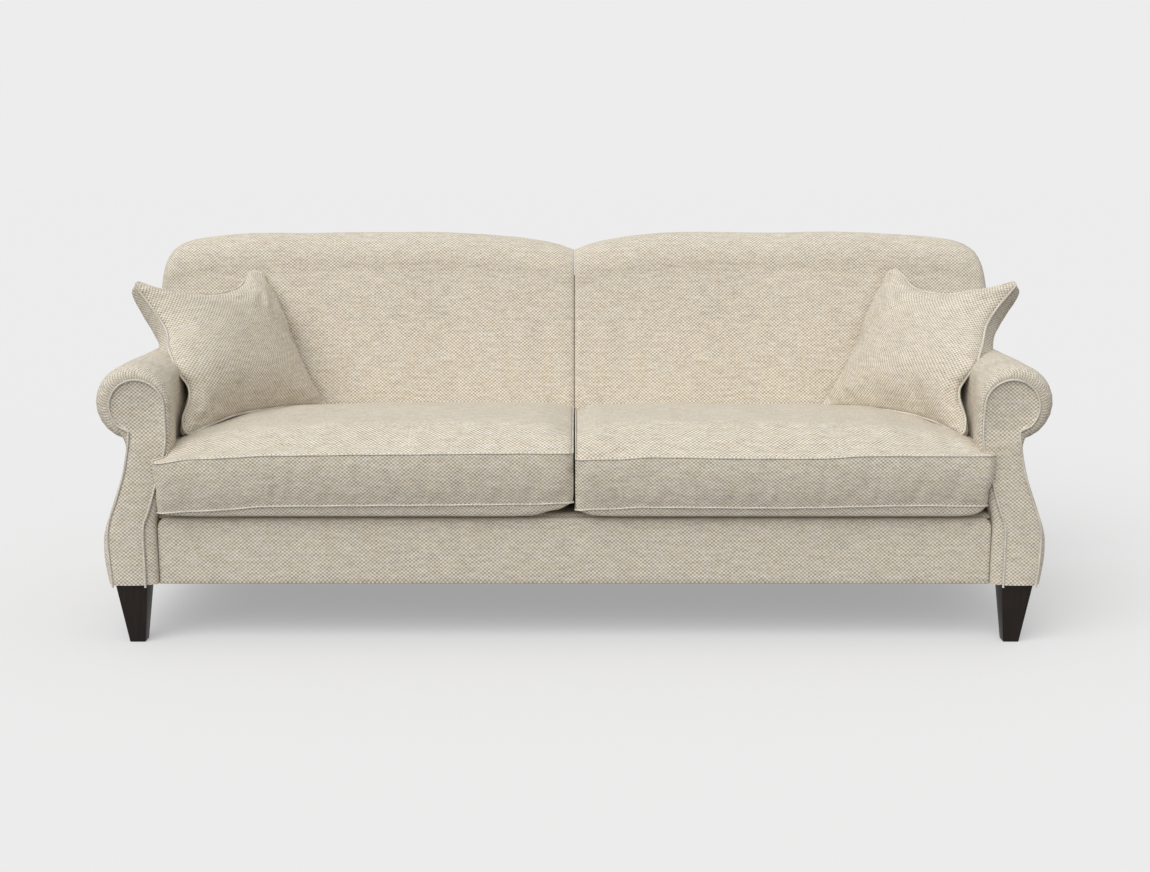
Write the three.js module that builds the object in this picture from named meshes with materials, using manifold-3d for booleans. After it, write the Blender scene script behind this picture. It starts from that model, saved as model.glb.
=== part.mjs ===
// English roll arm sofa with a tight arched back, two loose seat cushions and two scatter cushions.
// Millimetres, +X to the sitter's left as seen from the front (right in a front view), +Y to the back,
// +Z up. The origin is on the floor, at the middle of the sofa's length and depth.
import * as THREE from 'three';
import { mergeVertices } from 'three/addons/utils/BufferGeometryUtils.js';
import Module from 'manifold-3d';

const wasm = await Module();
wasm.setup();

// Overall sizes
const LENGTH = 2200;
const DEPTH = 900;
const LEG_HEIGHT = 138;
const FIT = 0.3;
const OVERRUN = 20;

// Front of the sofa, from the cushions' front back to the border under them
const CUSHION_OVERHANG = 26;
const BORDER_SETBACK = 25;
const BORDER_THICKNESS = 15;
const BORDER_TOP = 294;
const BORDER_CORNER = 24;

// Seat platform
const SEAT_LEVEL = 450;
const RAIL_TOP = 285;
const RAIL_THICKNESS = 28;
const SPRING_WIRE = 3.8;
const SPRING_SWING = 25;
const SPRING_WAVES = 6;
const SPRINGS_PER_SEAT = 4;
const SPRING_OVERLAP = 22;
const DECK_THICKNESS = 12;
const DUST_COVER = 1.5;

// Rolled arm: section through the covered arm, from the inside of its foot over the roll to the outside.
// A tuck is how far a place of the outside lies in from the sofa's end; the shares give its height between
// the foot and the end of the roll.
const ARM_FOOT_WIDTH = 115;
const ARM_FOOT_RISE = 150;
const ARM_FOOT_TUCK = 15;
const ARM_SHOULDER = 450;
const ROLL_RADIUS = 88;
const ROLL_HEIGHT = 563;
const ROLL_END_ANGLE = -78;
const NECK_TUCK = 66;
const WAIST_TUCK = 40;
const FLARE_TUCK = 5;
const HIP_TUCK = 3;
const ARM_HEIGHT_SHARES = { neck: 0.873, waist: 0.649, flare: 0.354, hip: 0.171 };
const ARM_PADDING = 16;
const ARM_FRONT_ROUND = 28;
const FACING_THICKNESS = 8;
const FACING_PIPING = 8;
const FACING_RECESS = 3;
const FACING_MARGIN = 26;
const FACING_SHIFT = 12;

// Back: raked front, raked rear, arched top of two halves
const BACK_RAKE = 15.5;
const BACK_REAR_RAKE = 6.8;
const BACK_DEPTH = 262;
const BACK_TOP = 915;
const BACK_SEAM_DIP = 47;
const BACK_CORNER_DROP = 40;
const BACK_ROLL_DEPTH = 72;
const BACK_SIDE_ROUND = 30;
const BACK_PADDING = 60;
const BACK_TOP_PADDING = 45;
const BACK_SIDE_PADDING = 20;
const BACK_CROWN = 12;
const BACK_PANEL = 8;
const BACK_PANEL_EASE = 3;
const SEAM_SHARE = 0.34;
const CORNER_SHARE = 0.55;
const BACK_FRONT_SHARES = [0, 0.22, 0.45, 0.7, 1];

// Places along one half of the back, closer together at the seam and at the outer corner
const BACK_STATION_SHARES = [0, 0.03, 0.09, 0.18, 0.34, 0.55, 0.72, 0.84, 0.92, 0.965, 0.99, 1];

// Timber inside the arms and back
const BOARD = 22;
const POST_THICKNESS = 28;
const TOP_RAIL_BOTTOM = 670;
const TACKING_RAIL_HEIGHT = 45;
const TACKING_RAIL_LIFT = 30;
const ARM_BOARD_EASE = 6;
const STUMP_DEPTH = 40;
const STUMP_SETBACK = 40;
const BLOCK_LENGTH = 60;
const BLOCK_HEIGHT = 42;
const WEBBING_WIDTH = 50;
const WEBBING_THICKNESS = 1.5;
const WEBS_PER_SIDE = 2;

// Legs
const LEG_TOP = 68;
const LEG_FOOT = 33;
const LEG_SETBACK = 8;
const LEG_INSET = 99;
const LEG_INNER_TAPER = 7;

// Seat cushions
const CUSHION_GAP = 3;
const CUSHION_SIDE_CLEARANCE = 5;
const CUSHION_EAR = 40;
const CUSHION_EAR_DEPTH = 23;
const CUSHION_CORNER = 6;
const CUSHION_LOWER_SEAM = 322;
const CUSHION_UPPER_SEAM = 446;
const CUSHION_CROWN = 515;
const CUSHION_BACK_CLEARANCE = 12;
const CUSHION_WRAP = 12;
const CUSHION_PIPING = 8;
const UNDERSIDE_SHARES = [0.12, 0.93];
const BAND_DRAW_SHARE = 0.996;

// Rise, size of the plan and squareness of its corners, ring by ring from the upper seam to the crown
const CROWN_SHARES = [[0.30, 0.965, 9], [0.55, 0.88, 5], [0.80, 0.70, 3.4], [0.95, 0.42, 2.6], [1, 0.1, 2]];
const ZIP_LENGTH = 520;
const ZIP_WIDTH = 4;

// Scatter cushions
const SCATTER_SIZE = 410;
const SCATTER_THICKNESS = 150;
const SCATTER_PULL = 15;
const SCATTER_FROM_ARM = 50;
const SCATTER_FROM_BACK = 134;
const SCATTER_RISE = 126;
const SCATTER_TURN = 45;
const SCATTER_LEAN = 32.5;
const SCATTER_TILT = 3;
const SCATTER_ZIP = 180;
const SCATTER_WALL = 6;
const SCATTER_PULL_IN = 10;
const SCATTER_EDGE_POWER = 3;
const SCATTER_RISE_POWER = 0.7;

// How finely the curves are divided
const SCROLL_STEPS = [1, 5, 1, 16, 12];
const ARM_FRONT_STEPS = 3;
const BACK_ROLL_STEPS = 10;
const BORDER_STEPS = 6;
const SPRING_STEPS = 8;
const COVER_STEPS = { across: 8, along: 5 };
const CORE_STEPS = { across: 3, along: 2 };
const SCATTER_STEPS = 12;
const PAD_STEPS = 6;

// Worked out from the sizes above
const HALF = LENGTH / 2;
const CUSHION_FRONT = -DEPTH / 2;
const FACING_FRONT = CUSHION_FRONT + CUSHION_OVERHANG;
const BACK_AT_SEAT = DEPTH / 2 - BACK_DEPTH;
const DECK_BOTTOM = RAIL_TOP + FIT + SPRING_WIRE + FIT;
const DECK_TOP = DECK_BOTTOM + DECK_THICKNESS;
const CUSHION_BOTTOM = DECK_TOP + FIT;
const ROLL_OUT = HALF - ROLL_RADIUS;
const ARM_INNER = ROLL_OUT - ROLL_RADIUS;
const ROLL_END = THREE.MathUtils.degToRad(ROLL_END_ANGLE);
const ROLL_END_HEIGHT = ROLL_HEIGHT + ROLL_RADIUS * Math.sin(ROLL_END);
const ARM_BASE_OUT = HALF - ARM_FOOT_TUCK;
const LEG_INNER = HALF - LEG_INSET;
const ARM_FOOT_INNER = ARM_BASE_OUT - ARM_FOOT_WIDTH;
const ARM_FRONT = FACING_FRONT + FACING_THICKNESS + FIT;
const BOARD_FRONT = ARM_FRONT + ARM_PADDING + FIT;
const BOARD_BACK = BOARD_FRONT + BOARD;
const BORDER_FRONT = FACING_FRONT + BORDER_SETBACK;
const FRONT_RAIL_FRONT = BORDER_FRONT + BORDER_THICKNESS + FIT;
const FRONT_RAIL_BACK = FRONT_RAIL_FRONT + RAIL_THICKNESS;
const FRONT_RAIL_END = ARM_FOOT_INNER + ARM_PADDING;
const SIDE_RAIL_IN = FRONT_RAIL_END + 2 * FIT;
const SIDE_RAIL_OUT = SIDE_RAIL_IN + RAIL_THICKNESS;
const rakeSlope = Math.tan(THREE.MathUtils.degToRad(BACK_RAKE));
const rearSlope = Math.tan(THREE.MathUtils.degToRad(BACK_REAR_RAKE));
const backFront = (height) => BACK_AT_SEAT + (height - SEAT_LEVEL) * rakeSlope;
const backRear = (height) => DEPTH / 2 + (height - BACK_TOP + BACK_ROLL_DEPTH) * rearSlope;
const SEAT_RAIL_FRONT = backFront(RAIL_TOP) + BACK_PADDING - RAIL_THICKNESS / 2;
const SEAT_RAIL_BACK = SEAT_RAIL_FRONT + RAIL_THICKNESS;
const PANEL_FRONT_INSET = BACK_PANEL + FIT;
const BASE_RAIL_BACK = backRear(LEG_HEIGHT) - PANEL_FRONT_INSET - FIT;
const BASE_RAIL_FRONT = BASE_RAIL_BACK - RAIL_THICKNESS;
const POST_OUT = HALF - BACK_SIDE_PADDING - FIT;
const POST_IN = POST_OUT - POST_THICKNESS;
const FRAME_INSET = BACK_PADDING + FIT + WEBBING_THICKNESS + FIT;

// Finishes
const weave = new THREE.MeshStandardMaterial({ color: 0xd3cab8, roughness: 0.93, metalness: 0 });
const lining = new THREE.MeshStandardMaterial({ color: 0x2c2b2a, roughness: 0.95, metalness: 0 });
const foam = new THREE.MeshStandardMaterial({ color: 0xe8dfc6, roughness: 0.9, metalness: 0 });
const timber = new THREE.MeshStandardMaterial({ color: 0xc39b6c, roughness: 0.7, metalness: 0 });
const stained = new THREE.MeshStandardMaterial({ color: 0x2a1f1a, roughness: 0.4, metalness: 0 });
const steel = new THREE.MeshStandardMaterial({ color: 0x8d9196, roughness: 0.4, metalness: 0.9 });

const sofa = new THREE.Group();

function add(name, geometry, material) {
  const mesh = new THREE.Mesh(geometry, material);
  mesh.name = name;
  sofa.add(mesh);
  return mesh;
}

// Turns a geometry's faces outwards when its volume comes out negative.
function faceOut(geometry) {
  const place = geometry.getAttribute('position');
  const index = geometry.index.array;
  const [a, b, c] = [new THREE.Vector3(), new THREE.Vector3(), new THREE.Vector3()];
  let volume = 0;
  for (let i = 0; i < index.length; i += 3) {
    a.fromBufferAttribute(place, index[i]);
    b.fromBufferAttribute(place, index[i + 1]);
    c.fromBufferAttribute(place, index[i + 2]);
    volume += a.dot(b.cross(c));
  }
  if (volume < 0) {
    for (let i = 0; i < index.length; i += 3) {
      [index[i], index[i + 1]] = [index[i + 1], index[i]];
    }
  }
  return geometry;
}

function bare(geometry) {
  const copy = geometry.clone();
  copy.deleteAttribute('normal');
  copy.deleteAttribute('uv');
  return mergeVertices(copy);
}

function toSolid(geometry) {
  const merged = faceOut(bare(geometry));
  const vertProperties = new Float32Array(merged.getAttribute('position').array);
  const triVerts = new Uint32Array(merged.index.array);
  return new wasm.Manifold(new wasm.Mesh({ numProp: 3, vertProperties, triVerts }));
}

function toGeometry(solid) {
  const mesh = solid.getMesh();
  const geometry = new THREE.BufferGeometry();
  geometry.setAttribute('position', new THREE.BufferAttribute(new Float32Array(mesh.vertProperties), 3));
  geometry.setIndex(new THREE.BufferAttribute(new Uint32Array(mesh.triVerts), 1));
  return geometry;
}

// A closed solid through a row of rings with the same number of points each. flatten gives the plane
// in which the two end rings are closed; without it each end closes on the middle of its ring.
function loft(rings, flatten) {
  const count = rings[0].length;
  const points = rings.flat();
  const index = [];
  for (let r = 0; r < rings.length - 1; r++) {
    for (let i = 0; i < count; i++) {
      const a = r * count + i;
      const b = r * count + (i + 1) % count;
      index.push(a, b, b + count, a, b + count, a + count);
    }
  }
  const close = (ring, start, last) => {
    let faces;
    if (flatten) {
      const flat = ring.map(flatten);
      faces = THREE.ShapeUtils.triangulateShape(flat, []);
      const sample = faces.reduce(
        (sum, [a, b, c]) => sum + THREE.ShapeUtils.area([flat[a], flat[b], flat[c]]), 0);
      const follows = sample * THREE.ShapeUtils.area(flat) > 0;
      faces = faces.map(([a, b, c]) => (follows === last ? [start + a, start + b, start + c]
        : [start + a, start + c, start + b]));
    } else {
      const middle = points.length;
      points.push(ring.reduce((sum, p) => sum.add(p), new THREE.Vector3()).divideScalar(count));
      faces = ring.map((_, i) => (last ? [middle, start + i, start + (i + 1) % count]
        : [middle, start + (i + 1) % count, start + i]));
    }
    index.push(...faces.flat());
  };
  close(rings[0], 0, false);
  close(rings[rings.length - 1], (rings.length - 1) * count, true);
  const geometry = new THREE.BufferGeometry();
  const flatPoints = new Float32Array(points.flatMap((p) => [p.x, p.y, p.z]));
  geometry.setAttribute('position', new THREE.BufferAttribute(flatPoints, 3));
  geometry.setIndex(index);
  return faceOut(geometry);
}

// A box between two corners.
function block(x0, x1, y0, y1, z0, z1) {
  const geometry = new THREE.BoxGeometry(Math.abs(x1 - x0), Math.abs(y1 - y0), Math.abs(z1 - z0));
  geometry.translate((x0 + x1) / 2, (y0 + y1) / 2, (z0 + z1) / 2);
  return geometry;
}

// Turns a geometry made for the right arm or seat into its mirror on the left.
function onSide(geometry, side) {
  if (side > 0) return geometry;
  const mirrored = bare(geometry);
  mirrored.scale(-1, 1, 1);
  return faceOut(mirrored);
}

const SIDES = [['left', -1], ['right', 1]];
const across = (p) => new THREE.Vector2(p.x, p.z);
const along = (p) => new THREE.Vector2(p.y, p.z);

// Section of the rolled arm. The same sizes, drawn in, give the facing.
function scrollOutline(s) {
  const path = new THREE.Path();
  path.moveTo(s.footInner, LEG_HEIGHT);
  path.lineTo(s.footInner, s.footRise);
  const ease = (s.shoulder - s.footRise) / 3;
  path.bezierCurveTo(s.footInner, s.footRise + ease, s.inner, s.shoulder - ease, s.inner, s.shoulder);
  path.lineTo(s.rollOut - s.rollRadius, s.rollHeight);
  path.absarc(s.rollOut, s.rollHeight, s.rollRadius, Math.PI, ROLL_END, true);
  path.splineThru(s.outer.map(([x, z]) => new THREE.Vector2(x, z)));
  return path.curves.flatMap((curve, i) => {
    const steps = SCROLL_STEPS[i];
    const points = curve.getPoints(steps);
    return i === 0 ? points : points.slice(1);
  });
}

const outsideAt = (tuck, share) => [HALF - tuck, LEG_HEIGHT + (ROLL_END_HEIGHT - LEG_HEIGHT) * share];
const ARM = {
  footInner: ARM_FOOT_INNER,
  footRise: LEG_HEIGHT + ARM_FOOT_RISE,
  inner: ARM_INNER,
  shoulder: ARM_SHOULDER,
  rollOut: ROLL_OUT,
  rollHeight: ROLL_HEIGHT,
  rollRadius: ROLL_RADIUS,
  outer: [
    outsideAt(NECK_TUCK, ARM_HEIGHT_SHARES.neck),
    outsideAt(WAIST_TUCK, ARM_HEIGHT_SHARES.waist),
    outsideAt(FLARE_TUCK, ARM_HEIGHT_SHARES.flare),
    outsideAt(HIP_TUCK, ARM_HEIGHT_SHARES.hip),
    outsideAt(ARM_FOOT_TUCK, 0),
  ],
};
const FACING = {
  footInner: ARM.footInner + FACING_MARGIN,
  footRise: ARM.footRise,
  inner: ARM_INNER + FACING_SHIFT,
  shoulder: ARM.shoulder,
  rollOut: ROLL_OUT - FACING_SHIFT,
  rollHeight: ROLL_HEIGHT - FACING_SHIFT / 2,
  rollRadius: ROLL_RADIUS - FACING_MARGIN,
  outer: ARM.outer.map(([x, z]) => [x - FACING_SHIFT - FIT, z]),
};
const armOutline = scrollOutline(ARM);
const facingOutline = scrollOutline(FACING);

// Moves each point of a section inwards, while the two feet stay on their level.
function drawIn(outline, distance) {
  const last = outline.length - 1;
  return outline.map((point, i) => {
    const before = outline[Math.max(i - 1, 0)];
    const after = outline[Math.min(i + 1, last)];
    const way = after.clone().sub(before).normalize();
    const inward = new THREE.Vector2(way.y, -way.x);
    if (i === 0 || i === last) inward.set(Math.sign(inward.x), 0);
    return point.clone().addScaledVector(inward, distance);
  });
}

const ringAt = (outline, y) => outline.map((p) => new THREE.Vector3(p.x, y, p.y));
const ringOnBack = (outline, offset) => outline.map(
  (p) => new THREE.Vector3(p.x, backFront(p.y) + offset, p.y));
const blend = (from, to, share) => from.map((p, i) => p.clone().lerp(to[i], share));

// The whole outside of one covered arm, its front edge rolled over towards the facing.
function armBody() {
  const rounds = [];
  for (let step = 0; step <= ARM_FRONT_STEPS; step++) {
    const angle = step / ARM_FRONT_STEPS * Math.PI / 2;
    const y = ARM_FRONT + ARM_FRONT_ROUND * (1 - Math.cos(angle));
    rounds.push(ringAt(blend(facingOutline, armOutline, Math.sin(angle)), y));
  }
  return loft([...rounds, ringOnBack(armOutline, -FIT)], across);
}

// The hollow of the arm, open below and through into the back, where the timber stands.
function armHollow(reach) {
  const wall = drawIn(armOutline, ARM_PADDING);
  const open = wall.map((p, i) => (i === 0 || i === wall.length - 1
    ? new THREE.Vector2(p.x, p.y - OVERRUN) : p));
  return loft([ringAt(open, BOARD_FRONT - FIT), ringOnBack(open, reach)], across);
}

// Outline of the back from the front: height of its top over a place along its length.
function backTop(x) {
  const share = Math.abs(x) / HALF;
  const dip = BACK_SEAM_DIP * (1 - share / SEAM_SHARE) ** 2 * (share < SEAM_SHARE ? 1 : 0);
  const drop = share > CORNER_SHARE
    ? BACK_CORNER_DROP * ((share - CORNER_SHARE) / (1 - CORNER_SHARE)) ** 3 : 0;
  return BACK_TOP - dip - drop;
}

// Ring round the back at one place along its length: up the front, over the top, down the rear.
function backRing(x, inset) {
  const corner = Math.max(0, x - (HALF - BACK_SIDE_ROUND)) / BACK_SIDE_ROUND;
  const round = BACK_SIDE_ROUND * (1 - Math.sqrt(1 - Math.min(corner, 1) ** 2));
  const top = backTop(x) - inset.top - round;
  const mid = 1 - (2 * Math.abs(x) / ARM_INNER - 1) ** 2;
  const crown = x < ARM_INNER ? BACK_CROWN * Math.max(mid, 0) : 0;
  const frontAt = (z) => {
    const share = (z - LEG_HEIGHT) / (top - LEG_HEIGHT);
    const swell = Math.sin(Math.PI * Math.min(Math.max(share, 0), 1));
    return backFront(z) + inset.front + round - crown * swell;
  };
  const rearAt = (z) => backRear(z) + inset.rear - (inset.rear > 0 ? 0 : round);
  const ring = BACK_FRONT_SHARES.map((share) => {
    const z = inset.bottom + (top - BACK_ROLL_DEPTH - inset.bottom) * share;
    return new THREE.Vector3(x, frontAt(z), z);
  });
  const start = ring[ring.length - 1];
  const rearTop = top - BACK_ROLL_DEPTH;
  const end = new THREE.Vector3(x, rearAt(rearTop), rearTop);
  const half = (end.y - start.y) / 2;
  for (let i = 1; i < BACK_ROLL_STEPS; i++) {
    const angle = Math.PI * i / BACK_ROLL_STEPS;
    ring.push(new THREE.Vector3(x, start.y + half * (1 - Math.cos(angle)),
      rearTop + BACK_ROLL_DEPTH * Math.sin(angle)));
  }
  ring.push(end);
  ring.push(new THREE.Vector3(x, rearAt(inset.bottom), inset.bottom));
  return ring;
}
const NO_INSET = { front: 0, rear: 0, top: 0, bottom: LEG_HEIGHT };

function backBody() {
  return loft(BACK_STATION_SHARES.map((share) => backRing(Math.max(share * HALF, FIT), NO_INSET)));
}

function backHollow() {
  const inset = {
    front: BACK_PADDING, rear: OVERRUN, top: BACK_TOP_PADDING, bottom: LEG_HEIGHT - OVERRUN,
  };
  const outer = HALF - BACK_SIDE_PADDING;
  const rings = [-OVERRUN, ...BACK_STATION_SHARES.slice(2).map((share) => share * outer)]
    .map((x) => backRing(x, inset));
  return loft(rings);
}

// How far out the arm's inner face lies at a height.
function armInnerAt(height) {
  const above = armOutline.findIndex((p) => p.y > height);
  const [low, high] = [armOutline[above - 1], armOutline[above]];
  return low.x + (high.x - low.x) * (height - low.y) / (high.y - low.y);
}

// Seat cushion: rings of its plan, stacked from the flat underside over both seams to the crown.
function cushionPlan(s) {
  const points = [];
  for (let i = 0; i <= s.steps.across; i++) {
    const share = i / s.steps.across;
    const bulge = CUSHION_CORNER * Math.sin(Math.PI * share);
    points.push([s.inner + (s.outer + s.ear - s.inner) * share, s.front + CUSHION_CORNER - bulge]);
  }
  const behindEar = s.front + CUSHION_EAR_DEPTH;
  if (s.ear > 0) {
    points.push([s.outer + s.ear, behindEar]);
    points.push([s.outer, behindEar]);
  }
  for (let i = 1; i <= s.steps.along; i++) {
    points.push([s.outer, behindEar + (s.back - behindEar) * i / s.steps.along]);
  }
  for (let i = 1; i <= s.steps.across; i++) {
    points.push([s.outer + (s.inner - s.outer) * i / s.steps.across, s.back]);
  }
  for (let i = 1; i <= s.steps.along; i++) {
    const share = i / (s.steps.along + 1);
    points.push([s.inner, s.back + (s.front + CUSHION_CORNER - s.back) * share]);
  }
  return points;
}

// Each level has a height, the size of its plan, how far its rear leans, how square its corners are and
// how far it stands out as piping.
function cushionSolid(s) {
  const outline = cushionPlan(s);
  const middle = new THREE.Vector2((s.inner + s.outer) / 2, (s.front + s.back) / 2);
  const half = new THREE.Vector2((s.outer - s.inner) / 2, (s.back - s.front) / 2);
  const ring = ({ height, share, lean, square = null, bead = 0 }) => outline.map(([x, y]) => {
    const u = (x - middle.x) / half.x;
    const v = (y - middle.y) / half.y;
    const edge = Math.max(Math.abs(u), Math.abs(v));
    const round = square === null ? 1
      : edge / (Math.abs(u) ** square + Math.abs(v) ** square) ** (1 / square);
    const px = middle.x + (x - middle.x) * share * round + bead * u;
    const py = middle.y + (y - middle.y) * share * round + bead * v + lean * (v + 1) / 2;
    return new THREE.Vector3(px, py, height);
  });
  return loft(s.levels.map(ring));
}

// The cover with wrap 0 and its piped seams, or what lies inside it under a wrap and a slack.
function seatCushion(wrap, steps, slack) {
  const lower = CUSHION_LOWER_SEAM + wrap / 2;
  const upper = CUSHION_UPPER_SEAM - wrap / 2;
  const middle = (lower + upper) / 2;
  const crown = CUSHION_CROWN - wrap - slack;
  const bottom = CUSHION_BOTTOM + wrap + slack;
  const inset = 2 * wrap / ARM_INNER;
  const cord = wrap > 0 ? 0 : CUSHION_PIPING / 2;
  const leanAt = (z) => (z - CUSHION_BOTTOM) * rakeSlope;
  const seam = (height) => (wrap > 0 ? [{ height, share: 1, lean: leanAt(height) }]
    : [-1, 0, 1].map((step) => (
      { height: height + step * cord, share: 1, lean: leanAt(height), bead: step === 0 ? cord : 0 })));
  const levels = [
    { height: bottom, share: UNDERSIDE_SHARES[0], lean: 0 },
    { height: bottom, share: UNDERSIDE_SHARES[1] - inset, lean: 0 },
    ...seam(lower),
    { height: middle, share: BAND_DRAW_SHARE, lean: leanAt(middle) },
    ...seam(upper),
    ...CROWN_SHARES.map(([rise, share, square]) => (
      { height: upper + (crown - upper) * rise, share, lean: leanAt(upper) * share, square })),
  ];
  const inside = cord + wrap + slack;
  return cushionSolid({
    inner: CUSHION_GAP / 2 + inside,
    outer: ARM_INNER - CUSHION_SIDE_CLEARANCE - inside,
    ear: wrap > 0 ? 0 : CUSHION_EAR,
    front: CUSHION_FRONT + inside,
    back: backFront(CUSHION_BOTTOM) - CUSHION_BACK_CLEARANCE - inside,
    steps,
    levels,
  });
}

// Scatter cushion in its own frame: square in X and Z, thick in Y, its four sides drawn in.
function scatterSolid(size, thickness, steps) {
  const half = size / 2;
  const points = [];
  const index = [];
  const place = (u, v, face) => {
    const x = u * (half - SCATTER_PULL * (1 - v * v));
    const z = v * (half - SCATTER_PULL * (1 - u * u));
    const fall = (1 - Math.abs(u) ** SCATTER_EDGE_POWER) * (1 - Math.abs(v) ** SCATTER_EDGE_POWER);
    const rise = Math.max(fall, 0) ** SCATTER_RISE_POWER;
    return [x, face * rise * thickness / 2, z];
  };
  for (const face of [-1, 1]) {
    const start = points.length;
    for (let i = 0; i <= steps; i++) {
      for (let j = 0; j <= steps; j++) {
        points.push(place(2 * i / steps - 1, 2 * j / steps - 1, face));
      }
    }
    for (let i = 0; i < steps; i++) {
      for (let j = 0; j < steps; j++) {
        const a = start + i * (steps + 1) + j;
        const b = a + steps + 1;
        const quad = face < 0 ? [a, b, b + 1, a, b + 1, a + 1] : [a, b + 1, b, a, a + 1, b + 1];
        index.push(...quad);
      }
    }
  }
  const geometry = new THREE.BufferGeometry();
  geometry.setAttribute('position', new THREE.BufferAttribute(new Float32Array(points.flat()), 3));
  geometry.setIndex(index);
  return bare(geometry);
}

// Leans a scatter cushion into the right-hand corner of the seat.
function leanScatter(geometry) {
  const turn = new THREE.Euler(
    -THREE.MathUtils.degToRad(SCATTER_LEAN),
    THREE.MathUtils.degToRad(SCATTER_TILT),
    -THREE.MathUtils.degToRad(SCATTER_TURN), 'ZXY');
  const placed = geometry.clone();
  placed.applyMatrix4(new THREE.Matrix4().makeRotationFromEuler(turn));
  placed.translate(ARM_INNER - SCATTER_FROM_ARM, BACK_AT_SEAT - SCATTER_FROM_BACK,
    CUSHION_CROWN + SCATTER_RISE);
  return placed;
}

const armOuter = toSolid(armBody());
const armInside = toSolid(armHollow(BACK_PADDING + OVERRUN));
const backOuter = toSolid(backBody());
const backInside = toSolid(backHollow());
const DECK_HALF = armInnerAt(DECK_TOP) - FIT;

// Flat facing panel inside its cord, which runs round all but the foot
const facing = loft([
  ringAt(drawIn(facingOutline, FACING_PIPING), FACING_FRONT + FACING_RECESS),
  ringAt(drawIn(facingOutline, FACING_PIPING / 2), FACING_FRONT),
  ringAt(facingOutline, FACING_FRONT + FACING_PIPING / 2),
  ringAt(facingOutline, FACING_FRONT + FACING_THICKNESS),
], across);

// Outside of a seat cushion. What wraps round the arm's front keeps clear of it and of the facing over
// the whole height, so that the cushion lifts out.
const shift = 2 * FIT;
const keepClear = (inner, front) => toSolid(block(inner - shift, LENGTH, front - shift, DEPTH,
  0, CUSHION_CROWN + OVERRUN));
const seatOuter = toSolid(seatCushion(0, COVER_STEPS, 0))
  .subtract(keepClear(ARM_INNER, ARM_FRONT))
  .subtract(keepClear(FACING.inner, FACING_FRONT));

// Seat rails, screwed and glued between the arms' boards and the back's posts
function addRail(name, x0, x1, y0, y1) {
  add(name, block(x0, x1, y0, y1, LEG_HEIGHT, RAIL_TOP), timber);
}

addRail('front_seat_rail', -FRONT_RAIL_END, FRONT_RAIL_END, FRONT_RAIL_FRONT, FRONT_RAIL_BACK);
addRail('back_seat_rail', -SIDE_RAIL_IN + FIT, SIDE_RAIL_IN - FIT, SEAT_RAIL_FRONT, SEAT_RAIL_BACK);
addRail('back_base_rail', -POST_IN + FIT, POST_IN - FIT, BASE_RAIL_FRONT, BASE_RAIL_BACK);
addRail('centre_seat_rail', -RAIL_THICKNESS / 2, RAIL_THICKNESS / 2, FRONT_RAIL_BACK + FIT,
  SEAT_RAIL_FRONT - FIT);

// A board of the back's frame: its front and rear edges follow the rake between two heights.
function rakedBoard(places, bottom, topAt, frontAt, rearAt) {
  const rings = places.map((x) => [
    new THREE.Vector3(x, frontAt(bottom), bottom),
    new THREE.Vector3(x, frontAt(topAt(x)), topAt(x)),
    new THREE.Vector3(x, rearAt(topAt(x)), topAt(x)),
    new THREE.Vector3(x, rearAt(bottom), bottom),
  ]);
  return loft(rings, along);
}
const frameFront = (z) => backFront(z) + FRAME_INSET;
const frameRear = (z) => backRear(z) - PANEL_FRONT_INSET;
const railRear = (z) => frameFront(z) + RAIL_THICKNESS;
const underTop = (x) => backTop(x) - BACK_TOP_PADDING - BACK_ROLL_DEPTH - FIT;

// Sprung platform: serpentine springs from front to back under the deck
function springGeometry(x) {
  const start = FRONT_RAIL_BACK - SPRING_OVERLAP;
  const end = SEAT_RAIL_FRONT + SPRING_OVERLAP;
  const turns = 2 * SPRING_WAVES;
  const height = RAIL_TOP + FIT + SPRING_WIRE / 2;
  const points = [];
  for (let i = 0; i <= 2 * turns; i++) {
    const swing = SPRING_SWING * Math.sin(Math.PI * i / 2);
    points.push(new THREE.Vector3(x + swing, start + (end - start) * i / (2 * turns), height));
  }
  const half = SPRING_WIRE / 2;
  const section = new THREE.Shape([[-half, -half], [half, -half], [half, half], [-half, half]]
    .map(([u, v]) => new THREE.Vector2(u, v)));
  const extrudePath = new THREE.CatmullRomCurve3(points);
  const steps = SPRING_WAVES * SPRING_STEPS;
  return new THREE.ExtrudeGeometry(section, { steps, bevelEnabled: false, extrudePath });
}
for (const [name, side] of SIDES) {
  for (let i = 0; i < SPRINGS_PER_SEAT; i++) {
    const x = DECK_HALF * (i + 1 / 2) / SPRINGS_PER_SEAT;
    add(`${name}_seat_spring_${i + 1}`, springGeometry(side * x), steel);
  }
}
add('seat_deck', block(-DECK_HALF, DECK_HALF, FRONT_RAIL_FRONT, backFront(DECK_BOTTOM) + BACK_PADDING,
  DECK_BOTTOM, DECK_TOP), lining);

// Front border: padded band on the front rail with rounded upper corners
const borderHalf = ARM_FOOT_INNER - FIT;
const border = new THREE.Shape();
border.moveTo(-borderHalf, LEG_HEIGHT);
border.lineTo(borderHalf, LEG_HEIGHT);
border.absarc(borderHalf - BORDER_CORNER, BORDER_TOP - BORDER_CORNER, BORDER_CORNER, 0, Math.PI / 2);
border.absarc(-borderHalf + BORDER_CORNER, BORDER_TOP - BORDER_CORNER, BORDER_CORNER, Math.PI / 2, Math.PI);
border.closePath();
const bandForm = { depth: BORDER_THICKNESS, bevelEnabled: false, curveSegments: BORDER_STEPS };
const band = new THREE.ExtrudeGeometry(border, bandForm);
band.rotateX(Math.PI / 2);
band.translate(0, BORDER_FRONT + BORDER_THICKNESS, 0);
add('front_border', band, weave);

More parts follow.
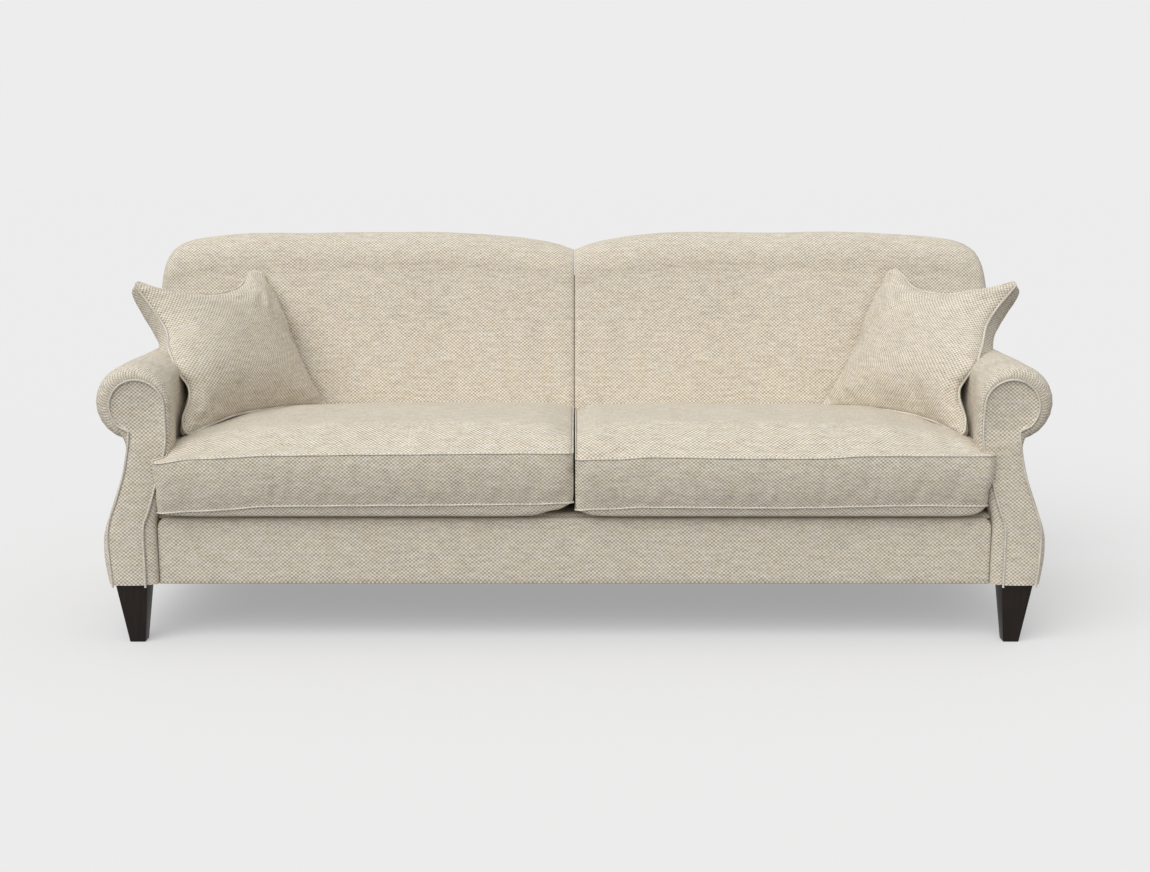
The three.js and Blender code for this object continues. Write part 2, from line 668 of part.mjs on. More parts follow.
// Timber and upholstery of each arm
const seamSplit = (ROLL_OUT + SIDE_RAIL_IN) / 2;
const boardOutline = drawIn(armOutline, ARM_PADDING + FIT);
const armBoardFront = BOARD_BACK + FIT;
const tackingBottom = RAIL_TOP + TACKING_RAIL_LIFT;
const stumpBack = backFront(RAIL_TOP) - STUMP_SETBACK;
const armBoardHalf = Math.sqrt((ROLL_RADIUS - ARM_PADDING - FIT) ** 2 - BOARD ** 2) - ARM_BOARD_EASE;
const underDeck = toSolid(block(0, FRONT_RAIL_END + FIT, FRONT_RAIL_FRONT - FIT, DEPTH,
  LEG_HEIGHT - OVERRUN, DECK_BOTTOM - FIT));
const lowerOutside = (gap) => toSolid(block(seamSplit - gap, LENGTH, -DEPTH, DEPTH,
  0, ROLL_END_HEIGHT + gap));
const armShell = armOuter.subtract(armInside).subtract(underDeck);
const armCover = toGeometry(armShell.subtract(lowerOutside(FIT)));
const outsideArm = toGeometry(armShell.intersect(lowerOutside(0)));
const scrollBoard = loft([ringAt(boardOutline, BOARD_FRONT), ringAt(boardOutline, BOARD_BACK)], across);

function armBoard() {
  const corners = [[-1, 0], [1, 0], [1, BOARD], [-1, BOARD]]
    .map(([way, rise]) => new THREE.Vector2(ROLL_OUT + way * armBoardHalf, ROLL_HEIGHT + rise));
  return loft([ringAt(corners, armBoardFront), ringOnBack(corners, FRAME_INSET - FIT)], across);
}

for (const [name, side] of SIDES) {
  const put = (part, geometry, material) => add(`${name}_${part}`, onSide(geometry, side), material);
  put('seat_rail', block(SIDE_RAIL_IN, SIDE_RAIL_OUT, armBoardFront, BASE_RAIL_FRONT - FIT,
    LEG_HEIGHT, RAIL_TOP), timber);
  put('scroll_board', scrollBoard, timber);
  put('arm_board', armBoard(), timber);
  put('arm_stump', block(SIDE_RAIL_IN, SIDE_RAIL_IN + BOARD, stumpBack - STUMP_DEPTH, stumpBack,
    RAIL_TOP + FIT, ROLL_HEIGHT - FIT), timber);
  put('arm_tacking_rail', block(SIDE_RAIL_IN, SIDE_RAIL_IN + BOARD, armBoardFront,
    stumpBack - STUMP_DEPTH - FIT, tackingBottom, tackingBottom + TACKING_RAIL_HEIGHT), timber);
  put('arm_cover', armCover, weave);
  put('outside_arm', outsideArm, weave);
  put('arm_facing', facing, weave);
}

// Timber, webbing and upholstery of the back
const halfPlaces = BACK_STATION_SHARES.map((share) => share * POST_IN - (share === 1 ? FIT : 0));
const fullPlaces = [...halfPlaces.slice(1).map((x) => -x).reverse(), ...halfPlaces];
add('back_top_rail', rakedBoard(fullPlaces, TOP_RAIL_BOTTOM, underTop, frameFront, railRear), timber);
add('centre_back_post', rakedBoard([-POST_THICKNESS / 2, POST_THICKNESS / 2], RAIL_TOP + FIT,
  () => TOP_RAIL_BOTTOM - FIT, frameFront, frameRear), timber);
const padCut = toSolid(block(0, FRONT_RAIL_END + FIT, -DEPTH, DEPTH, 0, DECK_TOP + FIT));
const backPad = toGeometry(backOuter.subtract(backInside).subtract(armInside).subtract(padCut));
for (const [name, side] of SIDES) {
  const put = (part, geometry, material) => add(`${name}_${part}`, onSide(geometry, side), material);
  put('back_post', rakedBoard([POST_IN, POST_OUT], LEG_HEIGHT, () => underTop(POST_OUT),
    frameFront, frameRear), timber);
  put('back_tacking_rail', rakedBoard([POST_THICKNESS / 2 + FIT, POST_IN - FIT], tackingBottom,
    () => tackingBottom + TACKING_RAIL_HEIGHT, frameFront, railRear), timber);
  for (let i = 1; i <= WEBS_PER_SIDE; i++) {
    const x = POST_IN * i / (WEBS_PER_SIDE + 1);
    put(`back_web_${i}`, rakedBoard([x - WEBBING_WIDTH / 2, x + WEBBING_WIDTH / 2], tackingBottom,
      () => TOP_RAIL_BOTTOM + WEBBING_WIDTH, (z) => frameFront(z) - FIT - WEBBING_THICKNESS,
      (z) => frameFront(z) - FIT), lining);
  }
  put('inside_back', backPad, weave);
}

// The panel reaches up to where the padded top curls down to it.
function panelTop(x) {
  const spring = underTop(x) + FIT;
  const half = (backRear(spring) + OVERRUN - backFront(spring) - BACK_PADDING) / 2;
  const share = 1 - (OVERRUN - BACK_ROLL_DEPTH * rearSlope) / half;
  return spring + BACK_ROLL_DEPTH * Math.sqrt(1 - share ** 2) - BACK_PANEL_EASE;
}
const panelPlaces = BACK_STATION_SHARES.map((share) => share * POST_OUT);
add('outside_back', rakedBoard([...panelPlaces.slice(1).map((x) => -x).reverse(), ...panelPlaces],
  LEG_HEIGHT, panelTop, (z) => backRear(z) - BACK_PANEL, backRear), weave);

// Tapered legs, screwed up into the leg blocks
function legGeometry(front, back, footFront) {
  const corners = (x0, width, y0, y1, z) => [[x0, y0], [x0 + width, y0], [x0 + width, y1], [x0, y1]]
    .map(([x, y]) => new THREE.Vector3(x, y, z));
  return loft([
    corners(LEG_INNER + LEG_INNER_TAPER, LEG_FOOT, footFront, footFront + LEG_FOOT, 0),
    corners(LEG_INNER, LEG_TOP, front, back, LEG_HEIGHT - FIT),
  ]);
}
const frontLegY = FACING_FRONT + LEG_SETBACK;
const rearLegY = backRear(LEG_HEIGHT) - LEG_SETBACK;
const LEGS = [
  {
    end: 'front',
    top: [frontLegY, frontLegY + LEG_TOP],
    footFront: frontLegY,
    blockFront: armBoardFront,
    blockOut: boardOutline.at(-1).x,
  },
  {
    end: 'rear',
    top: [rearLegY - LEG_TOP, rearLegY],
    footFront: rearLegY - LEG_FOOT,
    blockFront: BASE_RAIL_FRONT - FIT - BLOCK_LENGTH,
    blockOut: POST_IN - FIT,
  },
];

// Dust cover over the whole underside, cut round the legs
const dustHalf = ARM_BASE_OUT - ARM_PADDING / 2;
let dustCover = toSolid(block(-dustHalf, dustHalf, FRONT_RAIL_FRONT, backRear(LEG_HEIGHT) - BACK_PANEL,
  LEG_HEIGHT - FIT - DUST_COVER, LEG_HEIGHT - FIT));
for (const { top: [front, back] } of LEGS) {
  for (const [, side] of SIDES) {
    const socket = block(side * (LEG_INNER - FIT), side * (LEG_INNER + LEG_TOP + FIT),
      front - FIT, back + FIT, 0, LEG_HEIGHT + FIT);
    dustCover = dustCover.subtract(toSolid(socket));
  }
}
add('dust_cover', toGeometry(dustCover), lining);
for (const { end, top: [front, back], footFront, blockFront, blockOut } of LEGS) {
  const legBlock = block(SIDE_RAIL_OUT + FIT, blockOut, blockFront, blockFront + BLOCK_LENGTH,
    LEG_HEIGHT, LEG_HEIGHT + BLOCK_HEIGHT);
  for (const [name, side] of SIDES) {
    add(`${end}_${name}_leg`, onSide(legGeometry(front, back, footFront), side), stained);
    add(`${end}_${name}_leg_block`, onSide(legBlock, side), timber);
  }
}

// Loose seat cushions: a zipped cover with its fibre wrap, and the foam core inside
const zipHeight = (CUSHION_LOWER_SEAM + CUSHION_UPPER_SEAM) / 2;
const zipMiddle = (ARM_INNER + CUSHION_GAP) / 2;
const seatZip = toSolid(block(zipMiddle - ZIP_LENGTH / 2, zipMiddle + ZIP_LENGTH / 2,
  backFront(CUSHION_BOTTOM) - CUSHION_WRAP - OVERRUN, DEPTH,
  zipHeight - ZIP_WIDTH / 2, zipHeight + ZIP_WIDTH / 2));
const seatHollow = toSolid(seatCushion(CUSHION_WRAP, CORE_STEPS, 0));
const seatCover = toGeometry(seatOuter.subtract(seatHollow).subtract(seatZip));
const seatCore = seatCushion(CUSHION_WRAP, CORE_STEPS, FIT);

// Scatter cushions, pressed against the arm, the back and the seat that hold them up
function pressed(solid, clearance) {
  return solid.subtract(armOuter.translate([-clearance, 0, clearance]))
    .subtract(backOuter.translate([0, -clearance, clearance]))
    .subtract(seatOuter.translate([0, 0, clearance]));
}
const scatter = (size, thickness, steps, clearance) => pressed(
  toSolid(leanScatter(scatterSolid(size, thickness, steps))), clearance);
const padSize = SCATTER_SIZE - 2 * SCATTER_WALL - 2 * SCATTER_PULL_IN;
const padThickness = SCATTER_THICKNESS - 2 * SCATTER_WALL;
const scatterZip = toSolid(leanScatter(block(-SCATTER_ZIP / 2, SCATTER_ZIP / 2,
  -ZIP_WIDTH / 2, ZIP_WIDTH / 2, -SCATTER_SIZE, -padSize / 2 + OVERRUN)));
const scatterHollow = scatter(padSize, padThickness, PAD_STEPS, shift + SCATTER_WALL);
const scatterCover = toGeometry(scatter(SCATTER_SIZE, SCATTER_THICKNESS, SCATTER_STEPS, shift)
  .subtract(scatterHollow).subtract(scatterZip));
const scatterPad = toGeometry(
  scatter(padSize - 2 * shift, padThickness - 2 * shift, PAD_STEPS, shift + SCATTER_WALL + shift));

for (const [name, side] of SIDES) {
  add(`${name}_seat_cushion_cover`, onSide(seatCover, side), weave);
  add(`${name}_seat_cushion_core`, onSide(seatCore, side), foam);
  add(`${name}_scatter_cushion_cover`, onSide(scatterCover, side), weave);
  add(`${name}_scatter_cushion_pad`, onSide(scatterPad, side), foam);
}

export default sofa;
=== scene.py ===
"""English roll arm sofa: tight arched back in two halves, rolled arms with corded facings, two loose
seat cushions, two scatter cushions and dark stained tapered legs. Metres, in the frame of the solids."""
import math
import bmesh
import bpy
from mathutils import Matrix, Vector, noise


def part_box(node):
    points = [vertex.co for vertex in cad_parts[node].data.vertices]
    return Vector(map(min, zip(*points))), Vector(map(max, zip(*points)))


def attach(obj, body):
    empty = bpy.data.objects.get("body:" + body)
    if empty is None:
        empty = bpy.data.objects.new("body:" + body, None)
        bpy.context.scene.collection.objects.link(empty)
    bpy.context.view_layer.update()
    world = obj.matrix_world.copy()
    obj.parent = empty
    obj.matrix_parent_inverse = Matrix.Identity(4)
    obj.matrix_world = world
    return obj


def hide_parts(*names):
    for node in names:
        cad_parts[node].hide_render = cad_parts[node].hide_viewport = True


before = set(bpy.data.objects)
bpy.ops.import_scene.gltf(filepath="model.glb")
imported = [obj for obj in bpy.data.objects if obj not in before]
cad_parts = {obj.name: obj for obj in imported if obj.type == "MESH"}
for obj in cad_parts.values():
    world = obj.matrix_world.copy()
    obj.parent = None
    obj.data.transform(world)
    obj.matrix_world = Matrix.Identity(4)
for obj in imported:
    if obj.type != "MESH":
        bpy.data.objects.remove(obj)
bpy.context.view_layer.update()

bpy.ops.object.select_all(action="DESELECT")

# Camera: above the seat's height, 3.6 m in front of the arm facings, tilted down to the seat, with a lens
# of about 50 mm.
EYE = Vector((0.0015, -4.050, 1.144))
bpy.ops.object.camera_add(location=EYE, rotation=(math.radians(79.8), 0, 0))
bpy.context.object.data.lens = 50.51
bpy.context.scene.camera = bpy.context.object


# Studio: a pale paper floor that runs out to an even pale sky, and one wide soft light from the upper left in
# front. The camera sees two fifths of the paper's brightness as its own, which keeps the shadow on it light.
# The light the paper throws back on the sofa is painted: bounced light sees a darker paper, palest near the
# sofa and fading away from it.
class Sock:
    """One socket of a material, so that its maths reads as sums and products."""

    def __init__(self, link):
        self.link = link

    def node(self, kind, settings, sockets, out=0):
        made = self.link.id_data.nodes.new(kind)
        stops = settings.pop("stops", None)
        for key, value in settings.items():
            setattr(made, key, value)
        if stops:
            ramp = made.color_ramp
            while len(ramp.elements) < len(stops):
                ramp.elements.new(0.5)
            for element, (place, colour) in zip(ramp.elements, stops):
                element.position, element.color = place, (*colour, 1)
        for place, value in sockets.items():
            if isinstance(value, Sock):
                self.link.id_data.links.new(value.link, made.inputs[place])
            else:
                made.inputs[place].default_value = value
        return Sock(made.outputs[out])

    def ramp(self, stops):
        return self.node("ShaderNodeValToRGB", {"stops": stops}, {"Fac": self})

    def maths(self, operation, *values):
        sockets = {0: self, **{i + 1: value for i, value in enumerate(values)}}
        return self.node("ShaderNodeMath", {"operation": operation}, sockets)

    def __add__(self, other):
        return self.maths("ADD", other)

    __radd__ = __add__

    def __mul__(self, other):
        return self.maths("MULTIPLY", other)

    __rmul__ = __mul__

    def __sub__(self, other):
        return self.maths("SUBTRACT", other)

    def __rsub__(self, other):
        return (self * -1).maths("ADD", other)


def connect(node, name, socket):
    node.id_data.links.new(socket.link, node.inputs[name])


def seen_straight(nodes, other):
    """Whether a ray comes from the camera or is of one other kind: both see the background's paleness."""
    paths = nodes.new("ShaderNodeLightPath").outputs
    return Sock(paths["Is Camera Ray"]).maths("MAXIMUM", Sock(paths[other]))


SEEN_GREY = (0.845, 0.845, 0.845, 1)
LIT_GREY = (0.80, 0.80, 0.80, 1)
NEAR_PAINTED_POOL_GREY, FAR_PAINTED_POOL_GREY = 0.38, 0.12
bpy.ops.mesh.primitive_plane_add(size=80, location=(0, 0, 0))
floor = bpy.context.object
floor.name = "studio_floor"
paper = bpy.data.materials.new("studio_paper")
paper.use_nodes = True
nodes = paper.node_tree.nodes
nodes.remove(nodes["Principled BSDF"])
where = Sock(nodes.new("ShaderNodeTexCoord").outputs["Object"])
squeezed = where.node("ShaderNodeVectorMath", {"operation": "MULTIPLY"}, {0: where, 1: (1 / 2.3, 1 / 1.6, 0)})
away = where.node("ShaderNodeVectorMath", {"operation": "LENGTH"}, {0: squeezed}, out="Value")
# Painted pool of light: the paper's colour for bounced light only, darker than it looks, palest near the sofa
# and fading away from it.
painted_pool_fade = where.node("ShaderNodeMapRange", {"interpolation_type": "SMOOTHSTEP"},
                  {"Value": away, "From Min": 0.7, "From Max": 1.3, "To Min": NEAR_PAINTED_POOL_GREY, "To Max": FAR_PAINTED_POOL_GREY})
bounce = where.node("ShaderNodeBsdfDiffuse", {}, {"Color": painted_pool_fade})
glow = where.node("ShaderNodeEmission", {}, {"Color": SEEN_GREY})
lit = where.node("ShaderNodeBsdfDiffuse", {}, {"Color": LIT_GREY})
seen = where.node("ShaderNodeMixShader", {}, {0: 0.60, 1: glow, 2: lit})
connect(nodes["Material Output"], "Surface", where.node(
    "ShaderNodeMixShader", {}, {0: seen_straight(nodes, "Is Glossy Ray"), 1: bounce, 2: seen}))
floor.data.materials.append(paper)

world = bpy.data.worlds.new("studio_sky")
bpy.context.scene.world = world
world.use_nodes = True
nodes = world.node_tree.nodes
sky = nodes["Background"]
sky.inputs["Color"].default_value = (1, 1, 1, 1)
sky.inputs["Strength"].default_value = 0.60
straight = seen_straight(nodes, "Is Transmission Ray")
backdrop = straight.node("ShaderNodeBackground", {}, {"Color": SEEN_GREY})
connect(nodes["World Output"], "Surface", straight.node(
    "ShaderNodeMixShader", {}, {0: straight, 1: Sock(sky.outputs[0]), 2: backdrop}))

bpy.ops.object.light_add(type="SUN", location=(0, 0, 3), rotation=(math.radians(45), 0, math.radians(-31)))
window = bpy.context.object
window.name = "window_light"
window.data.energy = 2.0
window.data.angle = math.radians(60)
window.select_set(False)

bpy.context.scene.view_settings.view_transform = "Standard"


# Arms: rolled over a scroll board and padded, covered in one length of cloth from the seat over the roll to
# a seam below it. The outside is a panel of its own, and a flat facing in a self cord closes the front.
SIDES = (("left", -1), ("right", 1))


def speckle(place, scale, detail):
    return place.node("ShaderNodeTexNoise", {}, {"Vector": place, "Scale": scale, "Detail": detail})


def start_material(name, kind):
    """A new material, its shader and the node, of a given kind, that says where on the piece a point is."""
    material = bpy.data.materials.new(name)
    material.use_nodes = True
    nodes = material.node_tree.nodes
    return material, nodes["Principled BSDF"], nodes.new(kind)


def hold(shader, values):
    """Gives the shader's sockets what they hold: a number or another node's socket."""
    for name, value in values.items():
        if isinstance(value, Sock):
            connect(shader, name, value)
        else:
            shader.inputs[name].default_value = value


CELL_ACROSS = 0.00485
CELL_UP = 0.00425


def hopsack(name, depth):
    """Oatmeal hopsack: pairs of slubby threads in a small check, cream over tan, in slowly drifting tints.
    Depth is how far the check's hollows go from a middle grey to the full tan: below one the cloth is painted
    paler, a painted highlight.
    """
    material, shader, mapped = start_material(name, "ShaderNodeUVMap")
    mapped.uv_map = "cloth"
    place = Sock(mapped.outputs[0])
    sway = speckle(place, 35.0, 1.0) - 0.5
    u, v = (place.node("ShaderNodeSeparateXYZ", {}, {0: place}, out=k) for k in (0, 1))
    u = u + sway * 0.0018
    v = v + sway * 0.0012
    wave_u = (u * (math.pi / CELL_ACROSS)).maths("COSINE")
    wave_v = (v * (math.pi / CELL_UP)).maths("COSINE")
    check = wave_u * wave_v
    cell_u = (u * (1 / CELL_ACROSS) + 0.5).maths("FLOOR")
    cell_v = (v * (1 / CELL_UP) + 0.5).maths("FLOOR")
    cell = u.node("ShaderNodeCombineXYZ", {}, {0: cell_u, 1: cell_v})
    yarn = u.node("ShaderNodeTexWhiteNoise", {"noise_dimensions": "2D"}, {"Vector": cell})
    slub = speckle(u.node("ShaderNodeCombineXYZ", {}, {0: u * 22, 1: v * 120}), 1.0, 3.0)
    mix = yarn * 0.32 + slub * 0.78 + speckle(place, 6.0, 2.0) * 0.2 - 0.13
    light = mix.ramp([(0.0, (0.58, 0.528, 0.43)), (0.35, (0.73, 0.675, 0.56)), (0.65, (0.84, 0.79, 0.67)),
                      (1.0, (0.92, 0.88, 0.77))])
    hollows = ((0.0, 0.58, (0.235, 0.20, 0.15)), (0.4, 0.60, (0.40, 0.345, 0.255)),
               (0.7, 0.62, (0.51, 0.445, 0.345)), (1.0, 0.66, (0.64, 0.58, 0.47)))
    # Hollow colours: the full tan at a depth of one; a smaller depth pulls them toward grey, which paints the
    # cloth paler.
    dark = mix.ramp([(at, tuple(grey + (c - grey) * depth for c in tan)) for at, grey, tan in hollows])
    side = u.node("ShaderNodeMapRange", {"interpolation_type": "SMOOTHSTEP"},
                  {"Value": check, "From Min": -0.44, "From Max": 0.34})
    threads = u.node("ShaderNodeMix", {"data_type": "RGBA"}, {0: side, 6: dark, 7: light}, out=2)
    drift = speckle(u.node("ShaderNodeCombineXYZ", {}, {0: u * 20, 1: v * 34}), 1.0, 2.0)
    tint = drift.ramp([(0.30, (1.0, 0.99, 0.975)), (0.42, (1.0, 0.975, 0.975)), (0.52, (0.99, 0.99, 1.0)),
                       (0.60, (0.98, 0.98, 1.02)), (0.72, (1.0, 0.98, 0.95))])
    colour = u.node("ShaderNodeMix", {"data_type": "RGBA", "blend_type": "MULTIPLY"},
                    {0: 1.0, 6: threads, 7: tint}, out=2)
    ribs = (v * (2 * math.pi / CELL_UP * 1.5)).maths("COSINE") * 0.18
    height = side * 0.75 + yarn * 0.3 + ribs
    bump = u.node("ShaderNodeBump", {}, {"Strength": 0.55, "Distance": 0.0009, "Height": height})
    hold(shader, {"Base Color": colour, "Normal": bump, "Roughness": 0.92, "Specular IOR Level": 0.25,
                  "Sheen Weight": 0.08, "Sheen Roughness": 0.6})
    return material


cloth = hopsack("oatmeal_hopsack", 1.0)
# The cords' copy of the cloth, its hollows only half way to tan: the cords painted paler, a painted highlight
# for the light on their rounded tops.
cord_cloth_painted_highlight = hopsack("oatmeal_hopsack_cord_painted_highlight", 0.48)


def publish(name, work, material):
    """The piece that a finished bmesh makes, in its material."""
    mesh = bpy.data.meshes.new(name)
    work.to_mesh(mesh)
    work.free()
    made = bpy.data.objects.new(name, mesh)
    bpy.context.collection.objects.link(made)
    mesh.materials.append(material)
    return made


def smoothed(piece, degrees):
    """Smooth shading with an edge where faces meet more sharply than so many degrees."""
    piece.data.polygons.foreach_set("use_smooth", [True] * len(piece.data.polygons))
    piece.data.set_sharp_from_angle(angle=math.radians(degrees))


def lay_cloth(piece, flat):
    """Sets the cloth map from the place of each of the mesh's corners."""
    layer = piece.data.uv_layers["cloth"].data
    for loop in piece.data.loops:
        layer[loop.index].uv = flat(piece.data.vertices[loop.vertex_index].co)


def skin(name, rows, material, caps=True, smooth=60, cut_by=None):
    """A closed mesh through rows of points, its cloth map measured along and across the rows in metres. Cloth
    that is cut to the length of one row and gathered to the others has all its rows measured by that one."""
    count = len(rows[0])
    points = [p for row in rows for p in row]
    across, along = [], []
    for r, row in enumerate(rows):
        run = [0.0]
        for i in range(1, count + 1):
            run.append(run[-1] + (row[i % count] - row[i - 1]).length)
        across.append(run)
        along.append([0.0] * count)
        if r:
            along[r] = [along[r - 1][i] + (row[i] - rows[r - 1][i]).length for i in range(count)]
    if cut_by is not None:
        across = [across[cut_by]] * len(rows)
    faces, maps = [], []
    for r in range(len(rows) - 1):
        for i in range(count):
            j = (i + 1) % count
            faces.append((r * count + i, r * count + j, (r + 1) * count + j, (r + 1) * count + i))
            maps += [(along[r][i], across[r][i]), (along[r][j], across[r][i + 1]),
                     (along[r + 1][j], across[r + 1][i + 1]), (along[r + 1][i], across[r + 1][i])]
    if caps:
        for start, way in ((0, -1), ((len(rows) - 1) * count, 1)):
            ring = [start + i for i in range(count)][::way]
            spread = [max(points[i][k] for i in ring) - min(points[i][k] for i in ring) for k in range(3)]
            a, b = (k for k in range(3) if k != spread.index(min(spread)))
            faces.append(ring)
            maps += [(points[i][a], points[i][b]) for i in ring]
    raw = bpy.data.meshes.new("rows")
    raw.from_pydata(points, [], faces)
    raw.uv_layers.new(name="cloth").data.foreach_set("uv", [k for place in maps for k in place])
    work = bmesh.new()
    work.from_mesh(raw)
    bpy.data.meshes.remove(raw)
    bmesh.ops.triangulate(work, faces=[face for face in work.faces if len(face.verts) > 4])
    bmesh.ops.recalc_face_normals(work, faces=work.faces)
    made = publish(name, work, material)
    smoothed(made, smooth)
    return made


def clamp(t):
    return max(0.0, min(1.0, t))


def ease(t):
    """From 0 to 1 with a level start and end."""
    return clamp(t) ** 2 * (3 - 2 * clamp(t))


def quarter(t):
    """How far a quarter round has turned away, as a share of its radius, this far along it."""
    return 1 - math.sqrt(1 - clamp(t) ** 2)


def crowded(share, crowd):
    return share - crowd * math.sin(2 * math.pi * share) / (2 * math.pi)


def even(path, count, crowd=0.0):
    """The same path in a given number of equal steps, or of steps that crowd toward both its ends."""
    length = sum((q - p).length for p, q in zip(path, path[1:]))
    out, gone, at = [path[0].copy()], 0.0, 0
    for k in range(1, count):
        goal = length * crowded(k / count, crowd)
        while at < len(path) - 2 and gone + (path[at + 1] - path[at]).length < goal:
            gone += (path[at + 1] - path[at]).length
            at += 1
        share = min(1.0, (goal - gone) / max((path[at + 1] - path[at]).length, 1e-9))
        out.append(path[at].lerp(path[at + 1], share))
    out.append(path[-1].copy())
    return out


def tube(name, path, radius, loop=False):
    """A round cord along a path, its cloth cut on the bias."""
    rows = []
    count = len(path)
    up = Vector((0.13, -0.31, 0.94))
    for i, p in enumerate(path):
        before = path[(i - 1) % count] if loop or i > 0 else p
        after = path[(i + 1) % count] if loop or i < count - 1 else p
        way = (after - before).normalized()
        side = way.cross(up)
        if side.length < 0.2:
            side = way.cross(Vector((0.9, 0.3, 0.1)))
        side.normalize()
        rise = side.cross(way)
        rows.append([p + (side * math.cos(a) + rise * math.sin(a)) * radius
                     for a in (math.pi * k / 4 for k in range(8))])
    if loop:
        rows.append([q.copy() for q in rows[0]])
    # Cords take the paler copy of the cloth: a painted highlight.
    made = skin(name, rows, cord_cloth_painted_highlight, caps=not loop)
    for corner in made.data.uv_layers["cloth"].data:
        a, b = corner.uv
        corner.uv = ((a + b) * math.sqrt(0.5), (a - b) * math.sqrt(0.5))
    if loop:
        work = bmesh.new()
        work.from_mesh(made.data)
        bmesh.ops.remove_doubles(work, verts=work.verts, dist=1e-6)
        work.to_mesh(made.data)
        work.free()
    return made


def smooth_path(points, step):
    """A rounded curve through points, in equal steps."""
    fine = []
    last = len(points) - 1
    for i in range(last):
        a, b, c, d = (points[max(i - 1, 0)], points[i], points[i + 1], points[min(i + 2, last)])
        for k in range(12):
            t = k / 12
            fine.append(0.5 * ((2 * b) + (c - a) * t + (2 * a - 5 * b + 4 * c - d) * t * t
                               + (3 * b - a - 3 * c + d) * t ** 3))
    fine.append(points[-1].copy())
    return even(fine, max(2, round(sum((q - p).length for p, q in zip(fine, fine[1:])) / step)))


def table_at(table, x):
    """Value at x of a table of places and values, eased between its rows."""
    if x <= table[0][0]:
        return table[0][1]
    for (x0, y0), (x1, y1) in zip(table, table[1:]):
        if x <= x1:
            return y0 + (y1 - y0) * ease((x - x0) / (x1 - x0))
    return table[-1][1]


FACING_PLANE = -0.424
FOOT = 0.138
ROLL_OUT, ROLL_UP, ROLL_RADIUS = 1.012, 0.563, 0.088
ARM_INSIDE = [(0.970, 0.138), (0.970, 0.200), (0.970, 0.285), (0.957, 0.330), (0.937, 0.395), (0.925, 0.455),
              (0.924, 0.515)]
ARM_NECK = [(1.0341, 0.474), (1.0341, 0.462), (1.0347, 0.447), (1.0388, 0.430), (1.0463, 0.396),
            (1.0590, 0.359), (1.0795, 0.303), (1.0940, 0.257), (1.0970, 0.225), (1.0955, 0.190),
            (1.0865, 0.138)]
FACING_CENTRE, FACING_RADIUS = (0.9985, 0.5575), 0.0625
FACING_INSIDE = [(0.997, 0.138), (0.997, 0.216), (0.996, 0.276), (0.983, 0.312), (0.963, 0.377),
                 (0.945, 0.435), (0.936, 0.478), (0.935, 0.520)]
FACING_NECK = [(1.0310, 0.5070), (1.0205, 0.5030), (1.0192, 0.4970), (1.0205, 0.4785), (1.0235, 0.4590),
               (1.0275, 0.4380), (1.0350, 0.4010), (1.0455, 0.3690), (1.0600, 0.3270), (1.0740, 0.2880),
               (1.0795, 0.2500), (1.0780, 0.2000), (1.0730, 0.1380)]
FACING_SPINE = [(0.138, 1.035), (0.25, 1.037), (0.30, 1.030), (0.38, 1.003), (0.45, 0.984), (0.5575, 0.9985)]
STRETCHES = (44, 72, 46)


def rolled(inside, centre, radius, last, neck):
    """Outline of a rolled arm in X and Z: up the inside, round the roll and down the outside of its neck."""
    arc = []
    for k in range(49):
        angle = math.radians(180 + (last - 180) * k / 48)
        arc.append(Vector((centre[0] + radius * math.cos(angle), 0, centre[1] + radius * math.sin(angle))))
    rise = smooth_path([*(Vector((x, 0, z)) for x, z in inside), arc[0]], 0.003)
    fall = smooth_path([arc[-1], *(Vector((x, 0, z)) for x, z in neck)], 0.003)
    return [*even(rise, STRETCHES[0])[:-1], *even(arc, STRETCHES[1]), *even(fall, STRETCHES[2])[1:]]


BACK_SLOPE = math.tan(math.radians(15.5))
REAR_SLOPE = 0.11924


def back_front(z):
    return 0.188 + (z - 0.450) * BACK_SLOPE


def back_rear(z):
    return 0.450 + (z - 0.843) * REAR_SLOPE


def rounded_side(x):
    """How far the back's side edge turns away behind the arm."""
    return 0.030 * quarter((abs(x) - 1.081) / 0.030)


arm_line = rolled(ARM_INSIDE, (ROLL_OUT, ROLL_UP), ROLL_RADIUS, -74, ARM_NECK)
facing_line = rolled(FACING_INSIDE, FACING_CENTRE, FACING_RADIUS, -46, FACING_NECK)


def inside_limit(y):
    """How far in the padding on the inside stands: pressed outward behind the front by the cushions."""
    return 0.924 + 0.018 * ease((y + 0.39) / 0.11)


def smooth_max(a, b, soft):
    h = clamp(0.5 + 0.5 * (a - b) / soft)
    return b + (a - b) * h + soft * h * (1 - h)


